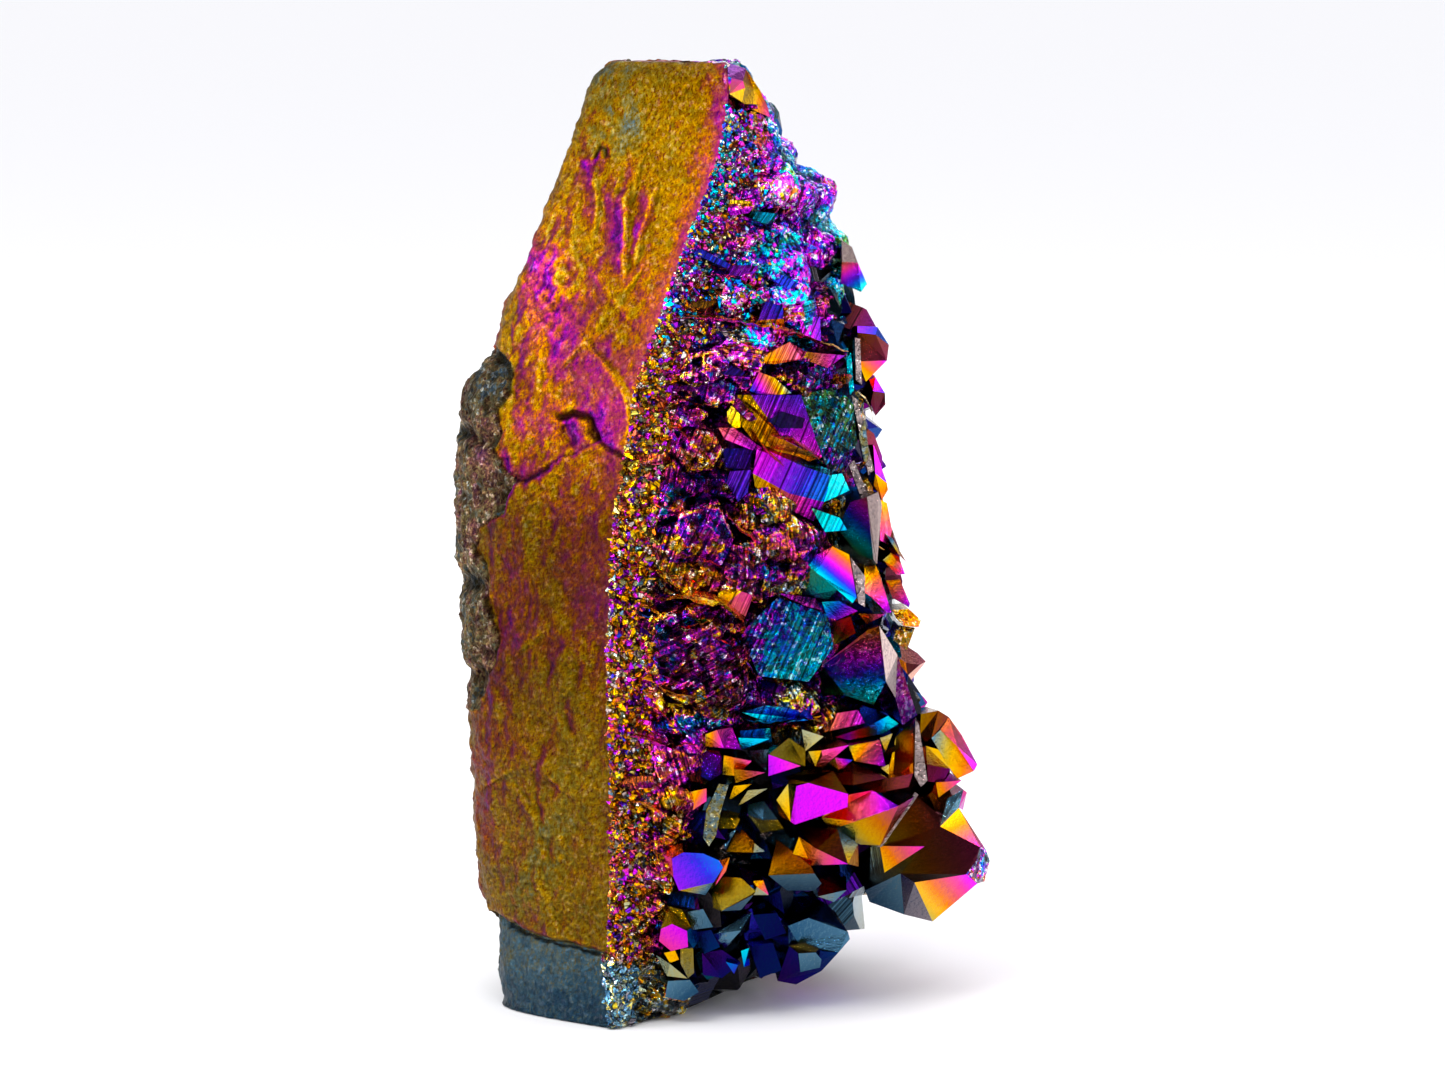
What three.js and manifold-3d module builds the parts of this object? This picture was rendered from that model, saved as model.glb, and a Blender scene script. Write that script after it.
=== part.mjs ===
// A free-standing quartz cluster, about 190 mm tall: a slab broken out of a geode wall.
// From -X to +X it runs through the wall: lumpy rind, banded agate, granular quartz, broken
// quartz columns and the crystal points of the old cavity. The foot is sawn flat.
// Everything grew together, so the part is one solid. Millimetres, +Z up, -Y is the front flank,
// and the origin is on the floor, under the middle of the foot.
import * as THREE from "three";
import { ConvexGeometry } from "three/addons/geometries/ConvexGeometry.js";
import { mergeVertices } from "three/addons/utils/BufferGeometryUtils.js";
import Module from "manifold-3d";

const wasm = await Module();
wasm.setup();

// ---- Driving dimensions -------------------------------------------------------------------

// The front sketch is drawn as seen by an eye in front of the cluster and a little above its middle.
// A sketch point is [across, up, y]: across and up are millimetres on the sketch, from the foot
// of the front ridge's column, and y is the depth at which the point lies (it grows to the back).
const EYE_DISTANCE = 960;
const EYE_RISE = THREE.MathUtils.degToRad(8);
const SKETCH_CENTRE = { across: 4.5, up: 96.6 };
const SIGHTED_POINT = new THREE.Vector3(4.5, 0, 91.5);

const TOP = 187.6; // height of the broken top
const ROW_HEIGHT = 8; // spacing of the body's rows

// The rails run up the body. Each is a list of sketch points from the foot to the top.
const RAILS = {
  // where the agate meets the granular quartz, the edge nearest to the eye
  ridge: [
    [-18, -0.6, -33.5], [-18.4, 13, -33], [-17.6, 33, -33], [-18, 57, -34.5], [-18.4, 69, -35],
    [-18, 81, -35], [-17.6, 93, -35], [-17, 101, -34.5], [-15.6, 110, -34], [-14, 117, -33],
    [-12.6, 128, -31.5], [-9, 138, -29.5], [-5.6, 148, -27], [-2, 158, -24.5], [1, 165, -22.5],
    [3.2, 172, -20.5], [4.8, 178, -19], [5.6, 185, -17], [6.2, 192.6, -15],
  ],
  // the middle of the broken front
  front: [
    [-4, 3, -19], [0, 13, -22], [2, 25, -25], [6, 45, -29], [8, 65, -31], [8, 85, -31.5],
    [8, 105, -31], [9, 125, -28], [11, 145, -24], [12, 165, -19], [10, 178, -15],
    [8.5, 187, -13], [7.4, 192.4, -11],
  ],
  // where the broken front turns into the crystal side
  frontRight: [
    [9, 9, 6], [16, 15, 0], [23, 25, -9], [29, 45, -15], [32, 65, -16], [32, 85, -16],
    [30.5, 105, -15], [28, 125, -14], [25.5, 145, -13], [20.5, 165, -11], [14, 178, -9],
    [11, 187, -8], [8.4, 192, -7],
  ],
  // the middle of the crystal side
  right: [
    [13, 10, 16], [20, 19, 12], [30, 28, 8], [36, 47, 6], [37, 65, 6], [36, 85, 6],
    [34, 105, 6], [31, 125, 6], [28, 145, 5], [23, 165, 4], [15.5, 178, 3],
    [12, 187, 2], [9, 192, 1],
  ],
  backRight: [
    [10, 12, 28], [22, 30, 30], [28, 50, 32], [28, 85, 32], [25, 125, 28], [20, 150, 22],
    [15, 172, 14], [7, 192, 7],
  ],
  back: [
    [-14, 12, 36], [-14, 50, 41], [-15, 85, 42], [-14, 125, 37], [-10, 150, 29],
    [-4, 172, 18], [-4, 192, 10],
  ],
  backLeft: [
    [-33, 9, 22], [-38, 50, 27], [-41, 85, 29], [-38, 125, 25], [-29, 150, 19],
    [-20, 172, 12], [-15, 192, 8],
  ],
  // the outline of the left side
  left: [
    [-37, 5, -3], [-39.6, 11, -3], [-39.8, 18, -3], [-41.8, 26, -2], [-44, 35, -2],
    [-44.4, 45, -1], [-44, 54, -1], [-44.2, 61, 0], [-44.8, 67, 0], [-46.4, 75, 0],
    [-47, 82, 0], [-47.6, 90, 0], [-48.2, 99, 0], [-48.8, 108, 0], [-48.4, 117, 0],
    [-47, 125, 0], [-45.6, 129, 0], [-42, 133, 0], [-39.4, 138, 0], [-36.6, 145, 0],
    [-34.2, 149, 0], [-31.2, 155, 0], [-28.2, 163, 0], [-25.2, 170, 0], [-22, 180, 0],
    [-19.8, 188, 0], [-17.6, 192.4, 0],
  ],
  // where the rind meets the agate
  frontLeft: [
    [-38.4, 3, -17], [-40, 13, -15], [-40, 20, -14], [-42.4, 38, -14], [-43, 52, -15],
    [-43.4, 65, -16], [-43, 75, -17], [-42.2, 85, -18], [-42.6, 95, -18], [-42.2, 105, -18],
    [-42, 115, -18], [-41.2, 125, -17], [-38.4, 133, -16], [-36, 143, -14], [-34, 150, -13],
    [-30.6, 158, -11], [-27.4, 167, -10], [-23.4, 179, -9], [-19.2, 191.8, -8],
  ],
};
// How many columns of faces lie between each rail and the next, going round to the right.
const COLUMNS = {
  ridge: 3, front: 4, frontRight: 1, right: 1, backRight: 3, back: 2, backLeft: 3, left: 3, frontLeft: 4,
};

// Relief of the rind: rounded lumps.
const LUMP_CELL = 11;
const LUMP_HEIGHT = 3;
// Relief of the agate and the back: low swells.
const SWELL_CELL = 14;
const SWELL_HEIGHT = 1.1;
// Relief of the granular and broken quartz: angular, no two corners of the surface alike.
const SHATTER_CELL = 3.5;
const SHATTER_HEIGHT = 1.8;
// The agate bellies out towards the foot, and is set back below a crack.
const BELLY = { height: 6, upTo: 60 };
const CRACK = { fromZ: 22, slope: -0.32, setBack: 1.6 };

// Quartz angles: how far the end faces lean from the crystal's axis.
const END_FACE_LEAN = THREE.MathUtils.degToRad(51.8);

// ---- Sketch and noise helpers ---------------------------------------------------------------

const RIGHT = new THREE.Vector3(1, 0, 0);
const UP = new THREE.Vector3(0, Math.sin(EYE_RISE), Math.cos(EYE_RISE));
const EYE = new THREE.Vector3(0, -Math.cos(EYE_RISE), Math.sin(EYE_RISE))
  .multiplyScalar(EYE_DISTANCE)
  .add(SIGHTED_POINT);

function fromSketch([across, up, y]) {
  const onSketch = SIGHTED_POINT.clone()
    .addScaledVector(RIGHT, across - SKETCH_CENTRE.across)
    .addScaledVector(UP, up - SKETCH_CENTRE.up);
  const sight = onSketch.sub(EYE);
  return EYE.clone().addScaledVector(sight, (y - EYE.y) / sight.y);
}

const fract = (x) => x - Math.floor(x);
const mix = (a, b, t) => a + (b - a) * t;
const smooth = (t) => t * t * (3 - 2 * t);

function chance(a, b, c) {
  return fract(Math.sin(a * 127.1 + b * 311.7 + c * 74.7) * 43758.5453);
}

// Smooth noise from -1 to 1, with one swell a unit.
function swell(x, y, z) {
  const [i, j, k] = [x, y, z].map(Math.floor);
  const [u, v, w] = [x - i, y - j, z - k].map(smooth);
  const along = (b, c) => mix(chance(i, j + b, k + c), chance(i + 1, j + b, k + c), u);
  return 2 * mix(mix(along(0, 0), along(1, 0), v), mix(along(0, 1), along(1, 1), v), w) - 1;
}

// Rounded lumps from 0 to 1, one in each unit cell.
function lumps(x, y, z) {
  const [i, j, k] = [x, y, z].map(Math.floor);
  let nearest = 9;
  for (let a = i - 1; a <= i + 1; a++)
    for (let b = j - 1; b <= j + 1; b++)
      for (let c = k - 1; c <= k + 1; c++) {
        const dx = a + chance(a, b, c) - x;
        const dy = b + chance(b, c, a) - y;
        const dz = c + chance(c, a, b) - z;
        nearest = Math.min(nearest, dx * dx + dy * dy + dz * dz);
      }
  return Math.sqrt(Math.max(0, 1 - nearest));
}

// ---- Body -----------------------------------------------------------------------------------

const RAIL_NAMES = Object.keys(RAILS);
const RAIL_POINTS = Object.fromEntries(RAIL_NAMES.map((name) => [name, RAILS[name].map(fromSketch)]));

// The point of a rail at height z.
function onRail(name, z) {
  const points = RAIL_POINTS[name];
  let n = 1;
  while (n < points.length - 1 && points[n].z < z) n++;
  const [low, high] = [points[n - 1], points[n]];
  const t = THREE.MathUtils.clamp((z - low.z) / (high.z - low.z), 0, 1);
  return new THREE.Vector2(mix(low.x, high.x, t), mix(low.y, high.y, t));
}

// How much of the surface between two rails is rind, from 0 to 1.
function rindShare(name, t) {
  if (name === "backLeft") return t;
  if (name === "left") return 1 - t * t;
  return 0;
}

// How much of the surface between two rails is granular or broken quartz, from 0 to 1.
function quartzShare(name, t) {
  if (name === "ridge") return smooth(Math.min(4 * t, 1));
  if (name === "backRight") return 1 - t;
  return name === "front" || name === "frontRight" || name === "right" ? 1 : 0;
}

// A point of the body at height z, a share t of the way from the named rail to the next.
function bodyPoint(name, t, z) {
  const next = RAIL_NAMES[(RAIL_NAMES.indexOf(name) + 1) % RAIL_NAMES.length];
  const [a, b] = [onRail(name, z), onRail(next, z)];
  const p = a.clone().lerp(b, t);
  const out = new THREE.Vector2(b.y - a.y, a.x - b.x).normalize();
  const noise = (cell) => swell(p.x / cell, p.y / cell, z / cell);
  const [rind, quartz] = [rindShare(name, t), quartzShare(name, t)];
  let relief = SWELL_HEIGHT * (1 - rind) * noise(SWELL_CELL);
  relief += SHATTER_HEIGHT * quartz * noise(SHATTER_CELL);
  relief += LUMP_HEIGHT * rind * (lumps(p.x / LUMP_CELL, p.y / LUMP_CELL, z / LUMP_CELL) - 0.6);
  const agate = name === "frontLeft" ? Math.sin(Math.PI * t) : 0;
  relief += BELLY.height * agate * smooth(THREE.MathUtils.clamp(1 - z / BELLY.upTo, 0, 1));
  if (z < CRACK.fromZ + CRACK.slope * (p.x + 38)) relief -= CRACK.setBack * Math.sqrt(agate);
  return new THREE.Vector3(p.x + out.x * relief, p.y + out.y * relief, z);
}

function solidFrom(geometry) {
  const bare = new THREE.BufferGeometry().setAttribute("position", geometry.getAttribute("position"));
  if (geometry.index) bare.setIndex(geometry.index);
  const merged = mergeVertices(bare, 1e-4);
  return new wasm.Manifold(
    new wasm.Mesh({
      numProp: 3,
      vertProperties: merged.attributes.position.array,
      triVerts: new Uint32Array(merged.index.array),
    }),
  );
}

function bodySolid() {
  const ring = RAIL_NAMES.flatMap((name) =>
    Array.from({ length: COLUMNS[name] }, (_, i) => [name, i / COLUMNS[name]]),
  );
  const rows = Math.round(TOP / ROW_HEIGHT) + 1;
  const points = [];
  for (let row = 0; row < rows; row++)
    for (const [name, t] of ring) points.push(bodyPoint(name, t, (TOP * row) / (rows - 1)));
  const middleOf = (row) =>
    ring
      .reduce((sum, _, i) => sum.add(points[row * ring.length + i]), new THREE.Vector3())
      .divideScalar(ring.length);
  const foot = points.push(middleOf(0)) - 1;
  const crown = points.push(middleOf(rows - 1)) - 1;
  const faces = [];
  for (let i = 0; i < ring.length; i++) {
    const j = (i + 1) % ring.length;
    for (let row = 0; row < rows - 1; row++) {
      const [low, high] = [row * ring.length, (row + 1) * ring.length];
      faces.push(low + i, low + j, high + j, low + i, high + j, high + i);
    }
    const last = (rows - 1) * ring.length;
    faces.push(foot, j, i, crown, last + i, last + j);
  }
  const geometry = new THREE.BufferGeometry().setFromPoints(points).setIndex(faces);
  return solidFrom(geometry);
}

// ---- Crystals -------------------------------------------------------------------------------

// Crystals drawn one by one: [across, up, y] of the tip on the front sketch, then heading (degrees
// on the sketch, 0 to the right and 90 up), lean (degrees out of the sketch, towards the eye),
// radius, and spin (degrees about the crystal's axis).
const DRAWN_POINTS = [
  // low right group
  [58.6, 32.8, -4, 8, 22, 11, 10],
  [56.4, 37.6, -6, 12, 30, 8.5, 0],
  [34, 27, -8, -20, 30, 8.5, 0],
  [48.4, 39.2, -14, -15, 35, 9.5, 20],
  [41, 46, -20, 18, 42, 10, 5],
  [55.4, 52.4, 0, -28, 15, 9.2, 15],
  [50.4, 60.6, -4, -5, 30, 6.5, 0],
  [53, 46, -3, -5, 25, 6, 30],
  [43.4, 61.2, -15, 74, 22, 8, 25],
  // faces seen straight on in the low front
  [30.4, 44.6, -30, -8, 50, 8.5, 0],
  [30, 32, -26, -30, 42, 8.5, 20],
  [16, 37.4, -31, 100, 55, 8, 10],
  [5.4, 31.6, -34, -20, 60, 8, 0],
  [12.4, 28, -31, 10, 55, 8, 25],
  [-2.2, 17.8, -32, -20, 50, 6.5, 15],
  [-1, 14, -29, 30, 45, 6, 5],
  [30.2, 17.8, -12, -8, 24, 9.5, 20],
  [25, 11, -11, -30, 30, 7, 10],
  [5, 15.6, -27, -110, 40, 7, 0],
  [14, 25.4, -27, -60, 45, 6.5, 25],
  [30, 26.4, -19, 10, 30, 7, 5],
  [16, 19, -22, -70, 40, 7, 10],
  [10, 8, -19, -100, 35, 6, 0],
  [20, 10, -14, -70, 30, 6, 20],
  // the row under the broken columns
  [20.4, 51.6, -32, -10, 45, 6.5, 0],
  [10.6, 52.8, -34, 5, 50, 6, 20],
  [13.6, 49, -34, 0, 55, 5.5, 10],
  [3.6, 51, -35, -30, 60, 6.5, 5],
  [5, 56.8, -34, 10, 55, 5.5, 25],
  [25, 57.8, -29, 10, 48, 6, 15],
  [30.6, 56, -27, 15, 40, 6.5, 0],
  [37.4, 52, -22, -20, 42, 7.5, 20],
  [20, 43, -32, 30, 62, 7, 20],
  [11, 45.4, -34, 10, 58, 6, 0],
  // tall points on the front edge of the crystal side
  [36.2, 80.6, -21, 86, 18, 10.5, 10],
  [31.4, 84.4, -26, -50, 42, 8, 25],
  [33.4, 105.4, -18, 86, 12, 6.5, 5],
  [38.4, 82.6, -16, -65, 32, 6, 15],
  [42, 86, -8, -35, 25, 6, 0],
  [40.6, 92, -6, -30, 20, 6, 20],
  [39, 97.6, -4, -35, 20, 5, 10],
  // points on the outline of the crystal side
  [38.4, 134.6, -2, -22, 20, 7.6, 10],
  [37.4, 124.4, -2, -20, 15, 6.4, 20],
  [32.6, 146.6, -2, -25, 15, 6, 0],
  [37, 112, -2, -30, 15, 5, 5],
  [37.6, 104, 0, -15, 15, 5, 15],
  [27.8, 165.5, -4, 5, 10, 5.5, 0],
  [28.8, 157, -4, -10, 15, 5.5, 20],
  // the smooth end of the highest column
  [14.2, 181, -6, 35, 25, 8, 10],
];

// Broken columns drawn one by one, in the same form.
const DRAWN_COLUMNS = [
  [29.6, 107.4, -24, -28, 12, 5.4, 15],
  [20, 121, -27, -38, 10, 6.5, 0],
  [28, 84, -24, -10, 40, 9, 0],
  [10, 83, -34, 70, 45, 10, 15],
  [29, 110, -19, -80, 12, 6, 20],
  [25.6, 150, -13, 0, 20, 6, 0],
];

const FULL_LENGTH = 26; // of a drawn crystal, most of it inside the wall

// Corners of the convex solid that all the planes {normal, distance} enclose.
function cornersOf(planes) {
  const corners = [];
  const meet = new THREE.Matrix3();
  planes.forEach((a, i) =>
    planes.slice(i + 1).forEach((b, j) =>
      planes.slice(i + j + 2).forEach((c) => {
        meet.set(...a.normal.toArray(), ...b.normal.toArray(), ...c.normal.toArray());
        if (Math.abs(meet.determinant()) < 1e-6) return;
        const p = new THREE.Vector3(a.distance, b.distance, c.distance).applyMatrix3(meet.invert());
        if (planes.every((plane) => plane.normal.dot(p) < plane.distance + 1e-6)) corners.push(p);
      }),
    ),
  );
  return corners;
}

// The direction that leans so far from a towards b.
function between(a, b, lean) {
  return a.clone().multiplyScalar(Math.cos(lean)).addScaledVector(b, Math.sin(lean));
}

// A six-sided crystal with its tip at the origin. Its side faces, and the end faces unless it is
// broken, are unequal by chance.
function crystalPlanes(axis, radius, spin, length, seed, broken) {
  const turn = new THREE.Quaternion().setFromUnitVectors(new THREE.Vector3(0, 0, 1), axis);
  const planes = [{ normal: axis.clone().negate(), distance: length }];
  for (let k = 0; k < 6; k++) {
    const angle = spin + (k * Math.PI) / 3;
    const side = new THREE.Vector3(Math.cos(angle), Math.sin(angle), 0).applyQuaternion(turn);
    planes.push({ normal: side, distance: radius * (1 - 0.22 * chance(seed, k, 1)) });
    if (broken) continue;
    const setBack = k % 2 ? 0.05 + 0.2 * chance(seed, k, 2) : 0.06 * chance(seed, k, 3);
    planes.push({ normal: between(axis, side, END_FACE_LEAN), distance: radius * setBack });
  }
  if (broken)
    for (let k = 0; k < 2; k++) {
      const across = new THREE.Vector3(chance(seed, k, 4) - 0.5, chance(seed, k, 5) - 0.5, 0);
      across.normalize().applyQuaternion(turn);
      const lean = 0.35 + 0.5 * chance(seed, k, 6);
      planes.push({ normal: between(axis, across, lean), distance: radius * 0.15 * k });
    }
  return planes;
}

function crystal(tip, axis, radius, spin, length, seed, broken) {
  const corners = cornersOf(crystalPlanes(axis, radius, spin, length, seed, broken));
  return solidFrom(new ConvexGeometry(corners.map((p) => p.add(tip))));
}

const TOWARDS_EYE = EYE.clone().sub(SIGHTED_POINT).normalize();

function drawn([across, up, y, heading, lean, radius, spin], n, broken) {
  const [h, l] = [heading, lean].map(THREE.MathUtils.degToRad);
  const axis = new THREE.Vector3()
    .addScaledVector(RIGHT, Math.cos(l) * Math.cos(h))
    .addScaledVector(UP, Math.cos(l) * Math.sin(h))
    .addScaledVector(TOWARDS_EYE, Math.sin(l));
  const length = Math.min(FULL_LENGTH, 3.2 * radius);
  const turn = THREE.MathUtils.degToRad(spin);
  return crystal(fromSketch([across, up, y]), axis, radius, turn, length, n, broken);
}

// Point on the body with its outward direction.
function seat(name, t, z) {
  const p = bodyPoint(name, t, z);
  const along = bodyPoint(name, Math.min(t + 0.1, 1), z).sub(bodyPoint(name, t - 0.1, z));
  const upward = bodyPoint(name, t, z + 4).sub(bodyPoint(name, t, z - 4));
  return { p, out: along.cross(upward).normalize() };
}

// A patch of the body is strewn with crystal points or broken chunks, in rows from fromZ to toZ
// and so many across, over the surface that follows the named rail.
const POINT_PATCHES = [
  { rail: "frontRight", fromZ: 20, toZ: 172, step: 16, across: 2, radius: 7, stands: 5 },
  { rail: "right", fromZ: 18, toZ: 174, step: 16, across: 2, radius: 8.4, stands: 6 },
  { rail: "front", fromZ: 13, toZ: 52, step: 10, across: 2, radius: 6.6, stands: 3.5 },
  { rail: "backRight", fromZ: 18, toZ: 60, step: 14, across: 3, radius: 8.4, stands: 6.5 },
];
const CHUNK_PATCHES = [
  { rail: "front", fromZ: 60, toZ: 176, step: 12.5, across: 2, length: 17, width: 12, height: 3.2 },
  { rail: "backRight", fromZ: 72, toZ: 176, step: 17, across: 2, length: 21, width: 15, height: 3.6 },
];
// A strewn point is left out when a drawn tip is nearer than this many radii, or when it would
// stand lower than this.
const TOO_NEAR = 0.9;
const LOWEST_TIP = 4;

// Above this height everything strewn is smaller.
const NARROW_FROM = 150;
const NARROW = 0.72;

// The columns grew away from the rind: to the right, sinking in the lower half of the wall.
function growthHeading(z) {
  const sinking = -8 - 20 * Math.exp(-(((z - 108) / 22) ** 2));
  return THREE.MathUtils.degToRad(sinking + 12 * smooth(THREE.MathUtils.clamp((z - 140) / 30, 0, 1)));
}

// Three chances from -0.5 to 0.5 as a vector.
function jitter(n) {
  return new THREE.Vector3(chance(n, 4, 1) - 0.5, chance(n, 5, 1) - 0.5, chance(n, 6, 1) - 0.5);
}

// The seats of a patch: {n, p, out, z}, n being the seat's own number for its chances.
function seatsOf(patch, seed) {
  const seats = [];
  for (let row = 0; patch.fromZ + row * patch.step <= patch.toZ; row++)
    for (let col = 0; col < patch.across; col++) {
      const n = seed + row * 10 + col;
      const share = (col + 0.5 * (row % 2) + 0.4 * chance(n, 1, 1)) / patch.across;
      const z = patch.fromZ + patch.step * (row + 0.5 * (chance(n, 2, 1) - 0.5));
      seats.push({ n, z, ...seat(patch.rail, Math.min(share, 1), z) });
    }
  return seats;
}

function strewnPoints(patch, seed, drawnTips) {
  return seatsOf(patch, seed).flatMap(({ n, p, out, z }) => {
    const narrow = z > NARROW_FROM ? NARROW : 1;
    const radius = patch.radius * narrow * (0.75 + 0.5 * chance(n, 3, 1));
    const axis = out.addScaledVector(jitter(n), 0.9).normalize();
    const tip = p.addScaledVector(axis, patch.stands * narrow * (0.7 + 0.6 * chance(n, 7, 1)));
    const taken = drawnTips.some((q) => q.distanceTo(tip) < radius * TOO_NEAR);
    if (taken || tip.z < LOWEST_TIP) return [];
    return [crystal(tip, axis, radius, 2 * chance(n, 8, 1), radius * 2.6, n, false)];
  });
}

// A low angular chunk: what is left of a column broken off along the flank.
function chunk({ n, p, out, z }, { length, width, height }) {
  const heading = growthHeading(z);
  const flow = new THREE.Vector3(Math.cos(heading), 0, Math.sin(heading));
  flow.addScaledVector(jitter(n), 0.5);
  flow.addScaledVector(out, -flow.dot(out)).normalize();
  const across = out.clone().cross(flow);
  const size = (z > NARROW_FROM ? NARROW : 1) * (0.75 + 0.5 * chance(n, 3, 1));
  const plane = (lean, turn, distance) => {
    return { normal: between(out, between(flow, across, turn), lean), distance };
  };
  const planes = [plane(Math.PI, 0, 5)];
  for (let k = 0; k < 4; k++) {
    const turn = (k + 0.4 * (chance(n, k, 14) - 0.5)) * (Math.PI / 2);
    planes.push(plane(1.3, turn, size * 0.5 * (k % 2 ? width : length)));
  }
  for (let k = 0; k < 3; k++) {
    const lean = 0.25 + 0.5 * chance(n, k, 11);
    const turn = (k + 0.8 * chance(n, k, 12)) * ((2 * Math.PI) / 3);
    planes.push(plane(lean, turn, height * size * (0.8 + 0.4 * chance(n, k, 13))));
  }
  return solidFrom(new ConvexGeometry(cornersOf(planes).map((corner) => corner.add(p))));
}

// ---- Part -----------------------------------------------------------------------------------

const drawnTips = [...DRAWN_POINTS, ...DRAWN_COLUMNS].map(fromSketch);
const solids = [
  bodySolid(),
  ...DRAWN_POINTS.map((row, n) => drawn(row, n, false)),
  ...DRAWN_COLUMNS.map((row, n) => drawn(row, 100 + n, true)),
  ...POINT_PATCHES.flatMap((patch, n) => strewnPoints(patch, 1000 * (n + 1), drawnTips)),
  ...CHUNK_PATCHES.flatMap((patch, n) => seatsOf(patch, 5000 + 1000 * n).map((at) => chunk(at, patch))),
];
const aboveFloor = solidFrom(new THREE.BoxGeometry(400, 400, 400).translate(0, 0, 200));
const joined = wasm.Manifold.union(solids).intersect(aboveFloor);
// Crystals that touch can close a small pocket between them: the outer skin alone is kept.
const cluster = joined.decompose().reduce((a, b) => (b.volume() > a.volume() ? b : a));

function meshOf(solid, name, material) {
  const mesh = solid.getMesh();
  const geometry = new THREE.BufferGeometry()
    .setAttribute("position", new THREE.BufferAttribute(mesh.vertProperties, 3))
    .setIndex(new THREE.BufferAttribute(mesh.triVerts, 1));
  geometry.computeVertexNormals();
  const made = new THREE.Mesh(geometry, material);
  made.name = name;
  return made;
}

const auraCoat = new THREE.MeshStandardMaterial({
  name: "aura_coat",
  color: new THREE.Color(0.55, 0.32, 0.3),
  roughness: 0.25,
  metalness: 1,
});

const root = new THREE.Group();
root.add(meshOf(cluster, "quartz_cluster", auraCoat));
export default root;
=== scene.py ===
"""Looks of the aura quartz cluster: a slab broken out of a geode wall and coated with metal film.

Every list below is in millimetres. A sketch point is (across, up), as seen by the eye that looks
at the broken front flank; meshes are made in millimetres and scaled to metres at the end.
"""
import math

import bpy
import numpy as np
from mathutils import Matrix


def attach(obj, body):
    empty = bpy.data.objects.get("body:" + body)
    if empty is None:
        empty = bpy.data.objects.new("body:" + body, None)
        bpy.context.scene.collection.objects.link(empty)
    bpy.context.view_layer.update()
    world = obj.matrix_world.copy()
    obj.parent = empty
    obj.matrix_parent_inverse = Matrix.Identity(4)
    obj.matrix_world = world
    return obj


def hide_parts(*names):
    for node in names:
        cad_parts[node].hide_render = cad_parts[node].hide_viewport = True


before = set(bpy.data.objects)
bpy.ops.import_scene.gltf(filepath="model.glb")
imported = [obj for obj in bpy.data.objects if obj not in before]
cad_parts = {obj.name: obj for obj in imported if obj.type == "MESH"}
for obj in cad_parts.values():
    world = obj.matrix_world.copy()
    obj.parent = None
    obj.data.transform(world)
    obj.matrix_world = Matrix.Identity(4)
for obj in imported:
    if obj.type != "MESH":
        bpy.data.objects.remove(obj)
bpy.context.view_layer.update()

MM = 0.001  # metres in a millimetre
NODE = "quartz_cluster"

# ---- The eye and the sketch plane ---------------------------------------------------------------

EYE_DISTANCE = 960.0
EYE_RISE = math.radians(8)
SKETCH_CENTRE = (4.5, 96.6)
SIGHTED_POINT = np.array([4.5, 0.0, 91.5])
SKETCH_WIDTH = 289.0  # what the picture's width spans at the sighted point
RIGHT = np.array([1.0, 0.0, 0.0])
UP = np.array([0.0, math.sin(EYE_RISE), math.cos(EYE_RISE)])
TO_EYE = np.array([0.0, -math.cos(EYE_RISE), math.sin(EYE_RISE)])
EYE = SIGHTED_POINT + EYE_DISTANCE * TO_EYE


def from_sketch(across, up, y):
    """Point at depth y that the eye sees at a sketch point."""
    on_sketch = SIGHTED_POINT + (across - SKETCH_CENTRE[0]) * RIGHT + (up - SKETCH_CENTRE[1]) * UP
    sight = on_sketch - EYE
    return EYE + sight * ((y - EYE[1]) / sight[1])


def to_sketch(points):
    """Sketch coordinates (across, up) of an array of points."""
    sight = points - EYE
    scale = EYE_DISTANCE / -(sight @ TO_EYE)
    return SKETCH_CENTRE[0] + (sight @ RIGHT) * scale, SKETCH_CENTRE[1] + (sight @ UP) * scale


# ---- Noise --------------------------------------------------------------------------------------


def chance(i, j=0, k=0, seed=0):
    """Repeatable chances from 0 to 1 for whole numbers i, j, k."""
    i, j, k = (np.asarray(a).astype(np.int64).astype(np.uint64) for a in (i, j, k))
    h = i * np.uint64(374761393) + j * np.uint64(668265263) + k * np.uint64(2246822519)
    h = h + np.uint64(seed * 3266489917 + 1013904223)
    h &= np.uint64(0xFFFFFFFF)
    h = ((h ^ (h >> np.uint64(13))) * np.uint64(1274126177)) & np.uint64(0xFFFFFFFF)
    h = ((h ^ (h >> np.uint64(15))) * np.uint64(2246822519)) & np.uint64(0xFFFFFFFF)
    return (h ^ (h >> np.uint64(16))).astype(np.float64) / 0xFFFFFFFF


def lucks(n, count, seed):
    """The first chances of thing number n."""
    return chance(n, np.arange(count), seed=seed).tolist()


def swell(p, cell, seed=0):
    """Smooth noise from -1 to 1 with one swell in each cell."""
    q = p / cell
    whole = np.floor(q)
    f = q - whole
    f = f * f * f * (f * (6 * f - 15) + 10)
    total = 0
    for a in (0, 1):
        for b in (0, 1):
            for c in (0, 1):
                share = 1
                for n, corner in enumerate((a, b, c)):
                    share = share * (f[..., n] if corner else 1 - f[..., n])
                corner = chance(whole[..., 0] + a, whole[..., 1] + b, whole[..., 2] + c, seed)
                total = total + share * corner
    return 2 * total - 1


def rough(p, cell, octaves, seed=0):
    """Noise from about -1 to 1 with finer and finer swells."""
    return sum(swell(p, cell / 2**n, seed + n) * 0.5**n for n in range(octaves))


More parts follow.
